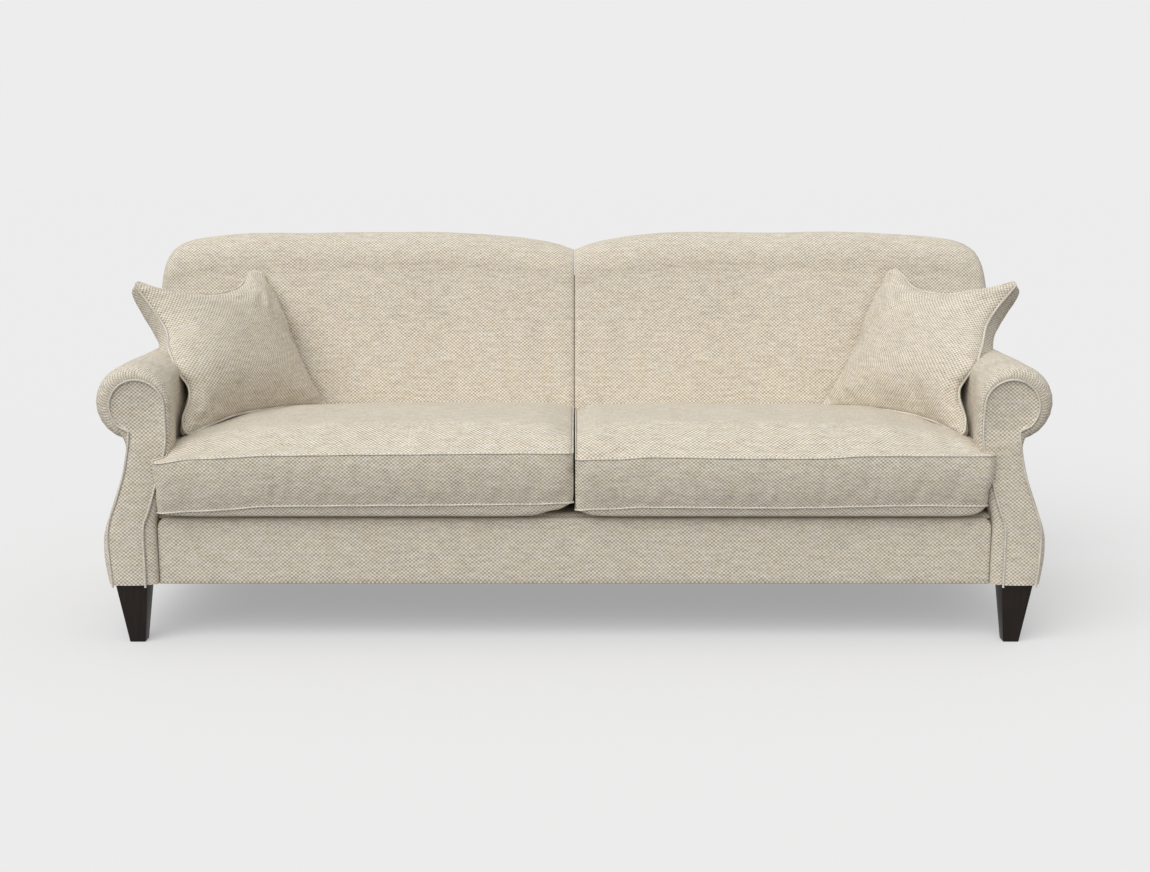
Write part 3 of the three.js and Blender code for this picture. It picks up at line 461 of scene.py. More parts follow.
def arm_rows(side):
    """Rows of the arm's cover: rolled over from the facing to the full outline, then back to the rake."""
    depths = []
    for i, (p, q) in enumerate(zip(facing_line, arm_line)):
        depth = min(0.042, 0.010 + 1.1 * (q - p).length)
        if i < STRETCHES[0]:
            depth = 0.012 + (depth - 0.012) * clamp((p.z - 0.29) / 0.12)
        depths.append(depth)
    for _ in range(6):
        depths = [(depths[max(i - 1, 0)] + depths[i] + depths[min(i + 1, len(depths) - 1)]) / 3
                  for i in range(len(depths))]
    rows = []
    for k in range(10):
        angle = k / 9 * math.pi / 2
        rows.append([])
        for p, q, depth in zip(facing_line, arm_line, depths):
            at = p.lerp(q, math.sin(angle))
            puff = 0.0055 * clamp((p.z - 0.47) / 0.05) * math.sin(2 * angle)
            y = FACING_PLANE + 0.008 - puff + depth * (1 - math.cos(angle))
            rows[-1].append(Vector((side * at.x, y, at.z)))
    for k in range(1, 53):
        share = k / 52
        row = []
        for p, depth in zip(arm_line, depths):
            start = FACING_PLANE + 0.008 + depth
            end = back_front(p.z) + rounded_side(p.x) + 0.012
            y = start + (end - start) * share
            x = smooth_max(p.x, inside_limit(y), 0.008) if p.x < 1.0 and p.z > 0.36 and y > -0.385 else p.x
            row.append(Vector((side * x, y, p.z)))
        rows.append(row)
    return rows


def settle(piece, reach, scale, seed, share):
    """Slow unevenness of padding under cloth, moved along the normals by a share told by the place."""
    for vertex in piece.data.vertices:
        p = vertex.co
        vertex.co = p + vertex.normal * noise.noise(p * scale + Vector((seed, 0, 0))) * reach * share(p)


for name, side in SIDES:
    cover = skin(f"{name}_arm_upholstery", arm_rows(side), cloth, smooth=70, cut_by=10)
    for vertex in cover.data.vertices:
        p = vertex.co
        front = (p.y - FACING_PLANE) / 0.075
        if front < 1 and p.z > 0.47:
            turn = math.atan2(p.z - ROLL_UP, abs(p.x) - ROLL_OUT)
            pleat = math.cos(turn * 23 + side) * (0.5 + noise.noise(Vector((turn * 2.3, side * 4.0, 0))))
            vertex.co = p + vertex.normal * 0.0013 * pleat * (1 - max(front, 0)) * min(1, front * 8 + 0.2)
    settle(cover, 0.003, 7.0, side * 11.0, lambda p: clamp((p.y + 0.37) / 0.1))
    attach(cover, "frame")
    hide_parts(f"{name}_arm_cover", f"{name}_outside_arm")

    inner = [Vector((side * p.x, FACING_PLANE + 0.005, p.z)) for p in facing_line]
    rows = [[p + Vector((0, 0.008, 0)) for p in inner], inner]
    levels = [min(FACING_CENTRE[1], max(p.z, FOOT)) for p in facing_line]
    spine = [Vector((side * table_at(FACING_SPINE, z), 0, z)) for z in levels]
    for share, rise in ((0.95, 0.0004), (0.85, 0.0016), (0.65, 0.0028), (0.35, 0.0034)):
        rows.append([])
        for p, middle in zip(inner, spine):
            dished = 1 - 2.4 * clamp((p.z - 0.465) / 0.05)
            rows[-1].append(Vector((middle.x + (p.x - middle.x) * share, FACING_PLANE + 0.005 - rise * dished,
                                    middle.z + (p.z - middle.z) * share)))
    facing = skin(f"{name}_arm_facing_panel", rows, cloth, smooth=80)
    lay_cloth(facing, lambda p: (p.x, p.z))
    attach(facing, "frame")
    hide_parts(f"{name}_arm_facing")

    path = [Vector((side * p.x, FACING_PLANE + 0.0035, p.z)) for p in facing_line]
    path[0].z = path[-1].z = 0.133
    cord = tube(f"{name}_facing_cord", even(path, 230), 0.0027)
    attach(cord, "frame")


# Back: two sprung and padded halves with an arched top that rolls over to the rear, sewn together down
# the middle. A plain panel closes the rear.
BACK_TOP = [(0.0, 0.866), (0.012, 0.870), (0.040, 0.880), (0.090, 0.891), (0.160, 0.902), (0.250, 0.9095),
            (0.380, 0.913), (0.650, 0.9130), (0.800, 0.9105), (0.903, 0.9065), (0.974, 0.9005),
            (1.030, 0.8925), (1.066, 0.8805), (1.091, 0.860), (1.104, 0.831), (1.1095, 0.794),
            (1.1115, 0.758)]
HALF_LENGTH = 1.1115


def back_profile(x, top, side_in):
    """One section of the back: up its raked front, over the top and down the rear."""
    swell = 0.003 * max(0.0, 1 - (2 * x / 0.924 - 1) ** 2) if x < 0.924 else 0.0
    pull = 0.003 * math.exp(-(x / 0.010) ** 2)
    shoulder = 0.092
    start = top - shoulder
    row = []
    for k in range(46):
        z = FOOT + (start - FOOT) * k / 45
        share = (z - FOOT) / (top - FOOT)
        row.append(Vector((x, back_front(z) - swell * math.sin(math.pi * share) + pull + side_in, z)))
    front = row[-1].y
    half = (back_rear(start) - side_in - front) / 2
    for k in range(1, 26):
        angle = math.pi * k / 26
        row.append(Vector((x, front + half * (1 - math.cos(angle)), start + shoulder * math.sin(angle))))
    for k in range(16):
        z = start + (FOOT - start) * k / 15
        row.append(Vector((x, back_rear(z) - side_in, z)))
    return row


BACK_PLACES = [0.0006, 0.003, 0.006, 0.010, 0.016, 0.026, 0.040, 0.060, 0.085, 0.115, 0.15, 0.19, 0.235,
               0.285, 0.34, 0.40, 0.46, 0.52, 0.58, 0.64, 0.70, 0.75, 0.80, 0.84, 0.88, 0.915, 0.945,
               0.97, 0.99, 1.01, 1.028, 1.044, 1.060, 1.074, 1.086, 1.095, 1.1010, 1.1052, 1.1084, 1.1104,
               1.1115]


def outline_at(x):
    """Height of the back's arched top over a place along it."""
    for (x0, z0), (x1, z1) in zip(BACK_TOP, BACK_TOP[1:]):
        if x <= x1:
            return z0 + (z1 - z0) * (x - x0) / (x1 - x0)
    return BACK_TOP[-1][1]


for name, side in SIDES:
    rows = []
    for x in BACK_PLACES:
        side_in = 0.030 * quarter((x - HALF_LENGTH) / 0.030 + 1) + 0.007 * quarter((0.010 - x) / 0.010)
        rows.append([Vector((side * p.x, p.y, p.z)) for p in back_profile(x, outline_at(x), side_in)])
    half = skin(f"{name}_back_upholstery", rows, cloth, smooth=70)
    settle(half, 0.0045, 4.5, side * 5.0, lambda p: min(1.0, abs(p.x) / 0.05) * (1.0 if p.z > 0.5 else 0.3))
    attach(half, "frame")
    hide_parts(f"{name}_inside_back")

rear_panel = []
for k in range(81):
    x = 1.0797 * (k / 40 - 1)
    top = min(outline_at(abs(x)) - 0.075, 0.8372)
    column = []
    for j in range(31):
        z = FOOT + (top - FOOT) * j / 30
        bow = 0.002 * math.sin(math.pi * j / 30) * math.sin(math.pi * k / 80)
        column.append(Vector((x, back_rear(z) - 0.001 + bow, z)))
    rear_panel.append(column + [p + Vector((0, -0.007, 0)) for p in reversed(column)])
panel = skin("outside_back_panel", rear_panel, cloth, smooth=50)
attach(panel, "frame")
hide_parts("outside_back")


# Front border: a band of the sofa's cloth over thin padding, drawn over the front seat rail and tacked
# behind and below it, its upper corners rounded.
low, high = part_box("front_border")
low.z -= 0.003
CORNER = 0.024
ends = [[Vector((x + CORNER * math.cos(a), 0, high.z - CORNER + CORNER * math.sin(a)))
         for a in (math.pi / 2 * (turn + k / 8) for k in range(9))]
        for x, turn in ((high.x - CORNER, 0), (low.x + CORNER, 1))]
steps = [k / 60 for k in range(1, 60)]
outline = [Vector((high.x, 0, low.z)), *ends[0], *(ends[0][-1].lerp(ends[1][0], t) for t in steps), *ends[1],
           Vector((low.x, 0, low.z)), *(Vector((low.x + (high.x - low.x) * t, 0, low.z)) for t in steps)]
centre, reach = (low.z + high.z) / 2, (high.z - low.z) / 2
border_rows = []
for inset, y in ((0.0, high.y), (0.0, low.y + 0.008), (0.0007, low.y + 0.005), (0.0022, low.y + 0.0023),
                 (0.0045, low.y + 0.0007), (0.008, low.y), (0.03, low.y - 0.001), (0.05, low.y - 0.0015)):
    border_rows.append([])
    for p in outline:
        x = math.copysign(max(abs(p.x) - inset * 0.3, 0), p.x)
        shrunk = (reach - inset * (0.4 if p.z < centre else 1)) / reach
        border_rows[-1].append(Vector((x, y, centre + (p.z - centre) * shrunk)))
border = skin("front_border_band", border_rows, cloth, smooth=60)
lay_cloth(border, lambda p: (p.x, p.z + p.y))
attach(border, "frame")
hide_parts("front_border")


# Seat cushions: foam in a fibre wrap inside boxed covers, crowned on top, corded round both seams, with
# a short ear that laps the front of the arm.
SEAT = {
    "left": {
        "top_seam": [(0.0, 0.455), (0.16, 0.4555), (0.45, 0.4535), (0.674, 0.451), (0.857, 0.443),
                     (0.960, 0.431)],
        "low_seam": [(0.0, 0.336), (0.10, 0.333), (0.42, 0.331), (0.678, 0.329), (0.871, 0.317),
                     (0.960, 0.311)],
        "under": [(0.0, 0.332), (0.045, 0.318), (0.10, 0.304), (0.15, 0.3022), (0.87, 0.3022), (0.96, 0.306)],
        "crown": [(0.0, 0.499), (0.085, 0.508), (0.25, 0.509), (0.50, 0.5065), (0.661, 0.501), (0.78, 0.490),
                  (0.870, 0.476), (0.935, 0.462)],
        "facet": 0.080, "edge": 0.487, "outer": 0.964, "low_outer": 0.961, "end_bulge": 0.001,
    },
    "right": {
        "top_seam": [(0.0, 0.440), (0.10, 0.442), (0.18, 0.447), (0.36, 0.4445), (0.55, 0.444), (0.68, 0.450),
                     (0.96, 0.449)],
        "low_seam": [(0.0, 0.318), (0.05, 0.321), (0.17, 0.326), (0.47, 0.325), (0.80, 0.330), (0.96, 0.328)],
        "under": [(0.0, 0.315), (0.05, 0.304), (0.10, 0.3022), (0.88, 0.3022), (0.93, 0.306), (0.96, 0.316)],
        "crown": [(0.0, 0.496), (0.057, 0.507), (0.26, 0.509), (0.54, 0.5065), (0.72, 0.498), (0.82, 0.487),
                  (0.88, 0.477), (0.935, 0.464)],
        "facet": 0.062, "edge": 0.489, "outer": 0.960, "low_outer": 0.951, "end_bulge": 0.006,
    },
}
CUSHION_FRONT, CUSHION_REAR = -0.446, 0.172
DECK_TOP = 0.3022
GAP = 0.0034
SIDE_OUT = 0.935
CREST = 0.40
CROWN_TOP = 0.510
BAND_LEAN = 0.018
BAND_ROWS = 11
ACROSS, DEEP = 84, 54
ROWS_IN = [0.0, 0.0012, 0.0035, 0.007, 0.011, 0.016, 0.023, 0.033, 0.046]


def outward(loop, i, side):
    """Which way a level loop faces at one of its points."""
    way = (loop[(i + 1) % len(loop)] - loop[i - 1]).normalized()
    return Vector((way.y, -way.x, 0)) * side


def smooth_min(a, b, soft):
    return -smooth_max(-a, -b, soft)


def seat_form(name, side):
    """Points of the boxed cover: grid of its top and grid of its underside."""
    s = SEAT[name]
    depth = CUSHION_REAR - CUSHION_FRONT
    rest = DEEP - len(ROWS_IN) + 1
    last = ROWS_IN[-1]
    inward = ROWS_IN + [last + (depth - last) * (k + 1) / rest for k in range(rest)]

    def outer_at(d, ear):
        return ear + (SIDE_OUT - ear) * ease((CUSHION_FRONT + d - FACING_PLANE + 0.016) / 0.010)

    def plan(i, j, lean, ear):
        d = inward[j]
        share = i / ACROSS
        x = GAP + (outer_at(d, ear) - GAP) * share
        edge = min(share, 1 - share) * (s["outer"] - GAP)
        rounding = 0.009 * quarter(1 - edge / 0.009) * max(0.0, 1 - d / 0.05)
        belly = 0.004 * math.sin(math.pi * share) if j == 0 else 0.0
        return x, CUSHION_FRONT + d + rounding - belly + lean * d / depth

    def top_height(x, d):
        t = d / depth
        off = (CREST - t) / CREST if t < CREST else (t - CREST) / (1 - CREST)
        rise = 1 - off ** (6.6 if t < CREST else 2.05)
        seam, inner_seam = table_at(s["top_seam"], x), s["top_seam"][0][1]
        body = seam + (table_at(s["crown"], x) - seam) * rise
        edge = inner_seam + (s["edge"] - inner_seam) * rise
        facet = edge + (x - GAP) * (CROWN_TOP - s["edge"]) / s["facet"]
        return smooth_min(body, facet, 0.004) if rise > 0.02 else body

    def low_height(x, d):
        front = table_at(s["low_seam"], x)
        return front + (0.322 - front) * ease(d / 0.12)

    def under_height(x, d):
        front = table_at(s["under"], x)
        return front + (DECK_TOP - front) * min(1.0, d / 0.20)

    lean = (0.446 - 0.302) * BACK_SLOPE
    top, bottom = [], []
    for j, d in enumerate(inward):
        top.append([])
        bottom.append([])
        for i in range(ACROSS + 1):
            x, y = plan(i, j, lean, s["outer"])
            top[-1].append(Vector((side * x, y, top_height(x, d))))
            x, y = plan(i, j, lean * 0.12, s["low_outer"])
            y += BAND_LEAN * max(0.0, 1 - d / 0.05)
            edge = min(x - GAP, outer_at(d, s["low_outer"]) - x, depth - d)
            blend = max(max(0.0, 1 - edge / 0.026) ** 1.6, quarter(1 - d / 0.013))
            under = under_height(x, d)
            bottom[-1].append(Vector((side * x, y, under + (low_height(x, d) - under) * blend)))
    return top, bottom


def rim(grid):
    """The edge of a grid as one loop, from the inner front corner along the front."""
    loop = list(grid[0])
    loop += [row[-1] for row in grid[1:]]
    loop += grid[-1][-2::-1]
    loop += [row[0] for row in grid[-2:0:-1]]
    return loop


def toned(name, stops, look, strength=0.0, depth=0.0003):
    """A material whose colour runs through stops. From the place on the piece, look gives the tone along
    them, the relief that a bump of this strength and depth shows, and what other sockets hold."""
    material, shader, coordinates = start_material(name, "ShaderNodeTexCoord")
    place = Sock(coordinates.outputs["Object"])
    tone, relief, rest = look(place)
    hold(shader, {"Base Color": tone.ramp(stops), **rest})
    if strength:
        bump = place.node("ShaderNodeBump", {}, {"Strength": strength, "Distance": depth, "Height": relief})
        connect(shader, "Normal", bump)
    return material


def foam_look(place):
    """Fine open cells."""
    cells = place.node("ShaderNodeTexVoronoi", {}, {"Vector": place, "Scale": 700.0})
    return cells * 0.6 + speckle(place, 9.0, 3.0) * 0.5, cells, {"Roughness": 0.9}


foam = toned("cream_foam", [(0.0, (0.60, 0.52, 0.34)), (1.0, (0.82, 0.75, 0.58))], foam_look, 0.4, 0.0004)


def seat_cushion(name, side):
    """The boxed cover, its seams and underside pinned, and the loops of its upper and lower seam."""
    top, bottom = seat_form(name, side)
    high_loop, low_loop = rim(top), rim(bottom)
    count = len(high_loop)
    work = bmesh.new()
    uv = work.loops.layers.uv.new("cloth")
    pins = work.verts.layers.float.new("pin")

    def lay_grid(points, flat):
        made = [[work.verts.new(p) for p in row] for row in points]
        run = [[flat] * (ACROSS + 1)]
        for j in range(DEEP):
            run.append([run[j][i] + (points[j + 1][i] - points[j][i]).length for i in range(ACROSS + 1)])
        for j in range(DEEP):
            for i in range(ACROSS):
                places = [(j, i), (j, i + 1), (j + 1, i + 1), (j + 1, i)]
                face = work.faces.new([made[a][b] for a, b in places])
                for loop, (a, b) in zip(face.loops, places):
                    loop[uv].uv = (loop.vert.co.x, run[a][b])
        return made

    upper, lower = lay_grid(top, 0.0), lay_grid(bottom, 3.0)
    rings = [rim(upper)]
    for k in range(1, BAND_ROWS):
        share = k / BAND_ROWS
        hump = math.sin(math.pi * share)
        ring = []
        for i in range(count):
            p = high_loop[i].lerp(low_loop[i], share)
            out = outward(high_loop, i, side)
            bulge = 0.002 * hump
            if abs(p.x) < 0.05 and abs(out.x) > 0.7:
                bulge *= 0.3
            if abs(p.x) > 0.88:
                bulge = bulge * 0.2 if p.y > -0.425 else SEAT[name]["end_bulge"] * hump
            ring.append(work.verts.new(p + out.normalized() * bulge))
        rings.append(ring)
    rings.append(rim(lower))
    run = [0.0]
    for i in range(1, count + 1):
        run.append(run[-1] + (high_loop[i % count] - high_loop[i - 1]).length)
    for k in range(BAND_ROWS):
        for i in range(count):
            places = ((i, k), (i + 1, k), (i + 1, k + 1), (i, k + 1))
            face = work.faces.new([rings[level][at % count] for at, level in places])
            for loop, (at, level) in zip(face.loops, places):
                loop[uv].uv = (run[at] + 0.3 * side, 6.0 - 0.0115 * level)
    for vert in (*rings[0], *rings[-1], *(vert for row in lower for vert in row)):
        vert[pins] = 1.0
    bmesh.ops.recalc_face_normals(work, faces=work.faces)
    return publish(f"{name}_seat_cushion", work, cloth), high_loop, low_loop


def swell(piece, pressure, spare, reach, stiff, frames=20):
    """The stuffing presses the cover out between its pinned seams, no point further than reach."""
    held = piece.vertex_groups.new(name="seams")
    for vertex in piece.data.vertices:
        weight = piece.data.attributes["pin"].data[vertex.index].value
        if weight > 0:
            held.add([vertex.index], weight, "REPLACE")
    start = [vertex.co.copy() for vertex in piece.data.vertices]
    modifier = piece.modifiers.new("cloth", "CLOTH")
    for key, value in {"quality": 6, "mass": 0.35, "tension_stiffness": 18, "compression_stiffness": 18,
                       "shear_stiffness": 6, "bending_stiffness": stiff, "use_pressure": True,
                       "uniform_pressure_force": pressure, "vertex_group_mass": "seams",
                       "shrink_min": -spare}.items():
        setattr(modifier.settings, key, value)
    modifier.settings.effector_weights.gravity = 0
    modifier.collision_settings.use_collision = False
    modifier.point_cache.frame_start = 1
    modifier.point_cache.frame_end = frames
    scene = bpy.context.scene
    for number in range(1, frames + 1):
        scene.frame_set(number)
    shown = piece.evaluated_get(bpy.context.evaluated_depsgraph_get())
    moved = [vertex.co.copy() for vertex in shown.data.vertices]
    piece.modifiers.remove(modifier)
    scene.frame_set(1)
    for vertex, a, b in zip(piece.data.vertices, start, moved):
        step = b - a
        if step.length > reach:
            step *= reach / step.length
        vertex.co = a + step


def worked(piece, kind, **settings):
    """Adds one modifier to a piece and applies it, with the piece left unselected."""
    bpy.ops.object.select_all(action="DESELECT")
    piece.select_set(True)
    bpy.context.view_layer.objects.active = piece
    modifier = piece.modifiers.new("work", kind)
    for key, value in settings.items():
        setattr(modifier, key, value)
    bpy.ops.object.modifier_apply(modifier=modifier.name)
    piece.select_set(False)


def finish_cover(piece):
    """One more division for the cloth's curves, all of it smooth shaded."""
    worked(piece, "SUBSURF", levels=1, render_levels=1)
    piece.data.polygons.foreach_set("use_smooth", [True] * len(piece.data.polygons))


for name, side in SIDES:
    cushion, high_loop, low_loop = seat_cushion(name, side)
    swell(cushion, 3.0, 0.010, 0.005, 0.6)
    for vertex in cushion.data.vertices:
        vertex.co.x = side * max(side * vertex.co.x, 0.0018)
    finish_cover(cushion)
    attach(cushion, f"{name}_seat_cushion")
    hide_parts(f"{name}_seat_cushion_cover")
    for place, loop, radius, proud in (("upper", high_loop, 0.0017, 0.0002),
                                       ("lower", low_loop, 0.0021, 0.0008)):
        path = [p + outward(loop, i, side).normalized() * proud for i, p in enumerate(loop)]
        cord = tube(f"{name}_seat_cushion_{place}_cord", path, radius, loop=True)
        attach(cord, f"{name}_seat_cushion")

    bpy.ops.mesh.primitive_cube_add(size=1, location=(side * 0.460, -0.134, 0.384))
    core = bpy.context.object
    core.name = f"{name}_seat_cushion_foam"
    core.dimensions = (0.868, 0.560, 0.112)
    bpy.ops.object.transform_apply(location=True, rotation=True, scale=True)
    bpy.ops.object.mode_set(mode="EDIT")
    bpy.ops.mesh.subdivide(number_cuts=11)
    bpy.ops.object.mode_set(mode="OBJECT")
    for vertex in core.data.vertices:
        p = vertex.co
        if p.z > 0.435:
            a, b = (abs(p.x) - 0.460) / 0.434, (p.y + 0.134) / 0.280
            vertex.co = (p.x, p.y, p.z + 0.036 * (1 - a * a) * (1 - b * b))
    worked(core, "BEVEL", width=0.012, segments=4, limit_method="ANGLE", angle_limit=math.radians(50))
    smoothed(core, 60)
    core.data.materials.append(foam)
    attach(core, f"{name}_seat_cushion")
    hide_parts(f"{name}_seat_cushion_core")


# Scatter cushions: square feather cushions in corded covers, each leaning into the corner between arm and
# back, one edge pressed in by the arm's roll. A seam point is its place along the width and up the face,
# and its share of the way from the eye.
SCATTER = {
    "left": {
        "corners": [(-0.212, 0.221, 0.985), (0.190, 0.229, 0.98), (0.198, -0.213, 0.98),
                    (-0.240, -0.214, 0.970)],
        "radii": (0.010, 0.036, 0.012, 0.012),
        "top": [(-0.150, 0.186, 0.985), (-0.060, 0.160, 0.98), (0.020, 0.150, 0.98), (0.085, 0.160, 0.98),
                (0.128, 0.190, 0.98)],
        "far": [(0.183, 0.140, 0.98), (0.180, 0.030, 0.98), (0.177, -0.080, 0.98), (0.180, -0.150, 0.98)],
        "foot": [(0.114, -0.194, 0.98), (0.004, -0.186, 0.98), (-0.079, -0.186, 0.98),
                 (-0.165, -0.199, 0.975)],
        "near": [(-0.226, -0.168, 0.970), (-0.190, -0.126, 0.969), (-0.176, -0.088, 0.967),
                 (-0.188, -0.045, 0.966), (-0.186, 0.017, 0.972), (-0.172, 0.073, 0.980),
                 (-0.187, 0.140, 0.985)],
    },
    "right": {
        "corners": [(-0.198, 0.229, 0.98), (0.216, 0.220, 0.985), (0.237, -0.218, 0.970),
                    (-0.203, -0.216, 0.98)],
        "radii": (0.035, 0.010, 0.010, 0.010),
        "top": [(-0.128, 0.190, 0.98), (-0.070, 0.157, 0.98), (0.020, 0.152, 0.98), (0.100, 0.173, 0.982),
                (0.150, 0.189, 0.985)],
        "far": [(0.184, 0.140, 0.985), (0.173, 0.085, 0.980), (0.185, 0.020, 0.972), (0.190, -0.040, 0.966),
                (0.172, -0.088, 0.967), (0.184, -0.125, 0.969), (0.221, -0.170, 0.970)],
        "foot": [(0.170, -0.199, 0.975), (0.100, -0.188, 0.98), (0.018, -0.186, 0.98), (-0.080, -0.194, 0.98),
                 (-0.130, -0.200, 0.98)],
        "near": [(-0.184, -0.140, 0.98), (-0.177, -0.056, 0.98), (-0.181, 0.050, 0.98),
                 (-0.184, 0.130, 0.98)],
    },
}
PILLOW_STEPS = 46
PILLOW_FULL = 0.150


def pillow_turn(side):
    """The cushion's own axes: along its width, through it toward the corner, and up its face."""
    thick = Vector((side * 0.5964, 0.5964, -0.5373)).normalized()
    across = Vector((0.6863, -side * 0.7260, -side * 0.0441))
    across = (across - thick * across.dot(thick)).normalized()
    up = across.cross(thick) * side
    return across, thick, up if up.z > 0 else -up


def press_clear(p, side, clear):
    """Moves a point out of the arm's roll, the arm's inside and the back that hold the cushion up."""
    x, z, radius = abs(p.x), p.z, ROLL_RADIUS - 0.008 + clear
    reach = math.hypot(x - ROLL_OUT, z - ROLL_UP)
    if reach < radius and p.y > FACING_PLANE:
        x = ROLL_OUT + (x - ROLL_OUT) * radius / max(reach, 1e-6)
        z = ROLL_UP + (z - ROLL_UP) * radius / max(reach, 1e-6)
    if z < ROLL_UP and x > 0.941 - clear:
        x = 0.941 - clear
    wall = back_front(z) - 0.010 - clear
    return Vector((side * x, min(p.y, wall), z))


TURN = 0.6


def leaving(path, reach):
    """The first point of a path that is as far from its start as reach."""
    return next(k for k, p in enumerate(path) if (p - path[0]).length >= reach)


def turned(sides, radii):
    """The seam's four sides with an arc at each corner, each side from one corner's tip to the next."""
    ends = []
    for k, radius in enumerate(radii):
        before, after = sides[k - 1][::-1], sides[k]
        a = (before[leaving(before, 0.03)] - after[0]).normalized()
        b = (after[leaving(after, 0.03)] - after[0]).normalized()
        half = a.angle(b) / 2
        reach = radius / math.tan(half)
        i, j = leaving(before, reach), leaving(after, reach)
        heart = after[0] + (a + b).normalized() * radius / math.sin(half)
        first, last = before[i] - heart, after[j] - heart
        arc = [heart + first.slerp(last, m / 16) * ((1 - m / 16) * first.length + m / 16 * last.length)
               / first.slerp(last, m / 16).length for m in range(17)]
        ends.append((i, j, arc))
    made = []
    for k, side in enumerate(sides):
        start, stop = ends[k], ends[(k + 1) % 4]
        made.append([*start[2][8:], *side[start[1] + 1:len(side) - 1 - stop[0]], *stop[2][:9]])
    return made


def scatter_cushion(name, side):
    """The cushion's seam, corner to corner, and its two faces puffed out from the patch between the seams."""
    s = SCATTER[name]
    across, thick, up = pillow_turn(side)
    centre = Vector((-0.870 if side < 0 else 0.874, 0.054, 0.641))
    n = PILLOW_STEPS

    def place(point):
        a, b, near = point
        p = centre + across * a + up * b
        return EYE + (p - EYE) * near

    corners = [place(point) for point in s["corners"]]
    names = ("top", "far", "foot", "near")
    sides = [smooth_path([corners[k], *(place(point) for point in s[names[k]]), corners[(k + 1) % 4]], 0.0015)
             for k in range(4)]
    hidden = 1 if side < 0 else 3
    for k, path in enumerate(sides):
        for i, p in enumerate(path):
            share = i / (len(path) - 1)
            weight = {hidden: 1.0, 4 - hidden: 0.0, (hidden - 1) % 4: share ** 3}.get(k, (1 - share) ** 3)
            way = (p - EYE).normalized()
            room = (back_front(p.z) - 0.016 - p.y) / (way.y - way.z * BACK_SLOPE)
            path[i] = p + way * max(0.0, room) * weight
    top, far, foot, near = [even(path, n, TURN) for path in turned(sides, s["radii"])]
    foot, near = foot[::-1], near[::-1]
    tl, tr, br, bl = top[0], top[-1], far[-1], near[-1]
    work = bmesh.new()
    uv = work.loops.layers.uv.new("cloth")
    pins = work.verts.layers.float.new("pin")
    made = {}
    for face in (-1, 1):
        for j in range(n + 1):
            for i in range(n + 1):
                rim_point = i in (0, n) or j in (0, n)
                if rim_point and face > 0:
                    made[face, i, j] = made[-1, i, j]
                    continue
                u, t = crowded(i / n, TURN), crowded(j / n, TURN)
                p = (top[i] * (1 - t) + foot[i] * t + near[j] * (1 - u) + far[j] * u
                     - tl * (1 - u) * (1 - t) - tr * u * (1 - t) - bl * (1 - u) * t - br * u * t)
                a, b = -side * (2 * u - 1), 2 * t - 1
                arm_edge = max(0.0, -a - 0.3) / 0.7 if face > 0 else 0.0
                puff = max(0.0, (1 - abs(a) ** 2.8) * (1 - abs(b) ** 2.8)) ** (0.44 - 0.20 * arm_edge)
                full = 0.62 if face < 0 else 0.95 + 0.60 * arm_edge * (1.0 if b < 0 else 0.3)
                p = p + thick * face * puff * (PILLOW_FULL / 2 * full)
                corner = a - b
                away = 0.05 * max(0.0, corner - 1.22) ** 1.3 + 0.020 * ease((corner - 1.06) / 0.26)
                if face < 0:
                    away -= 0.010 * math.exp(-((corner - 1.0) / 0.13) ** 2) * puff
                p = p + (p - EYE).normalized() * away
                if face < 0 and not rim_point:
                    fold = math.exp(-((corner - 1.14) / 0.20) ** 2)
                    ripple = math.cos((a + b) * 17 + side) * max(0.0, 1 - abs(a + b + 0.25) / 0.75)
                    p = p - thick * 0.005 * fold * ripple
                vert = work.verts.new(press_clear(p, side, 0.004 if rim_point else 0.002))
                vert[pins] = float(rim_point)
                made[face, i, j] = vert
        along, down = {}, {}
        for k in range(n + 1):
            for way, spot, table in ((1, lambda m: (face, m, k), along), (-1, lambda m: (face, k, m), down)):
                gone = [0.0]
                for m in range(n):
                    gone.append(gone[-1] + (made[spot(m + 1)].co - made[spot(m)].co).length)
                for m in range(n + 1):
                    table[spot(m)] = way * (gone[m] - gone[n // 2])
        for j in range(n):
            for i in range(n):
                places = [(i, j), (i + 1, j), (i + 1, j + 1), (i, j + 1)][::-face]
                quad = work.faces.new([made[face, a, b] for a, b in places])
                for loop, (a, b) in zip(quad.loops, places):
                    loop[uv].uv = (along[face, a, b] + 0.7 * face, down[face, a, b])
    edge = [*((i, 0) for i in range(n)), *((n, j) for j in range(n)), *((i, n) for i in range(n, 0, -1)),
            *((0, j) for j in range(n, 0, -1))]
    path = [made[-1, i, j].co.copy() for i, j in edge]
    bmesh.ops.recalc_face_normals(work, faces=work.faces)
    return publish(f"{name}_scatter_cushion", work, cloth), path


def cambric_look(place):
    """Closely woven cotton that holds the feathers."""
    threads = (place.node("ShaderNodeSeparateXYZ", {}, {0: place}) * 5200).maths("SINE")
    cloud = speckle(place, 30.0, 4.0)
    return cloud + threads * 0.08, cloud, {"Roughness": 0.85}


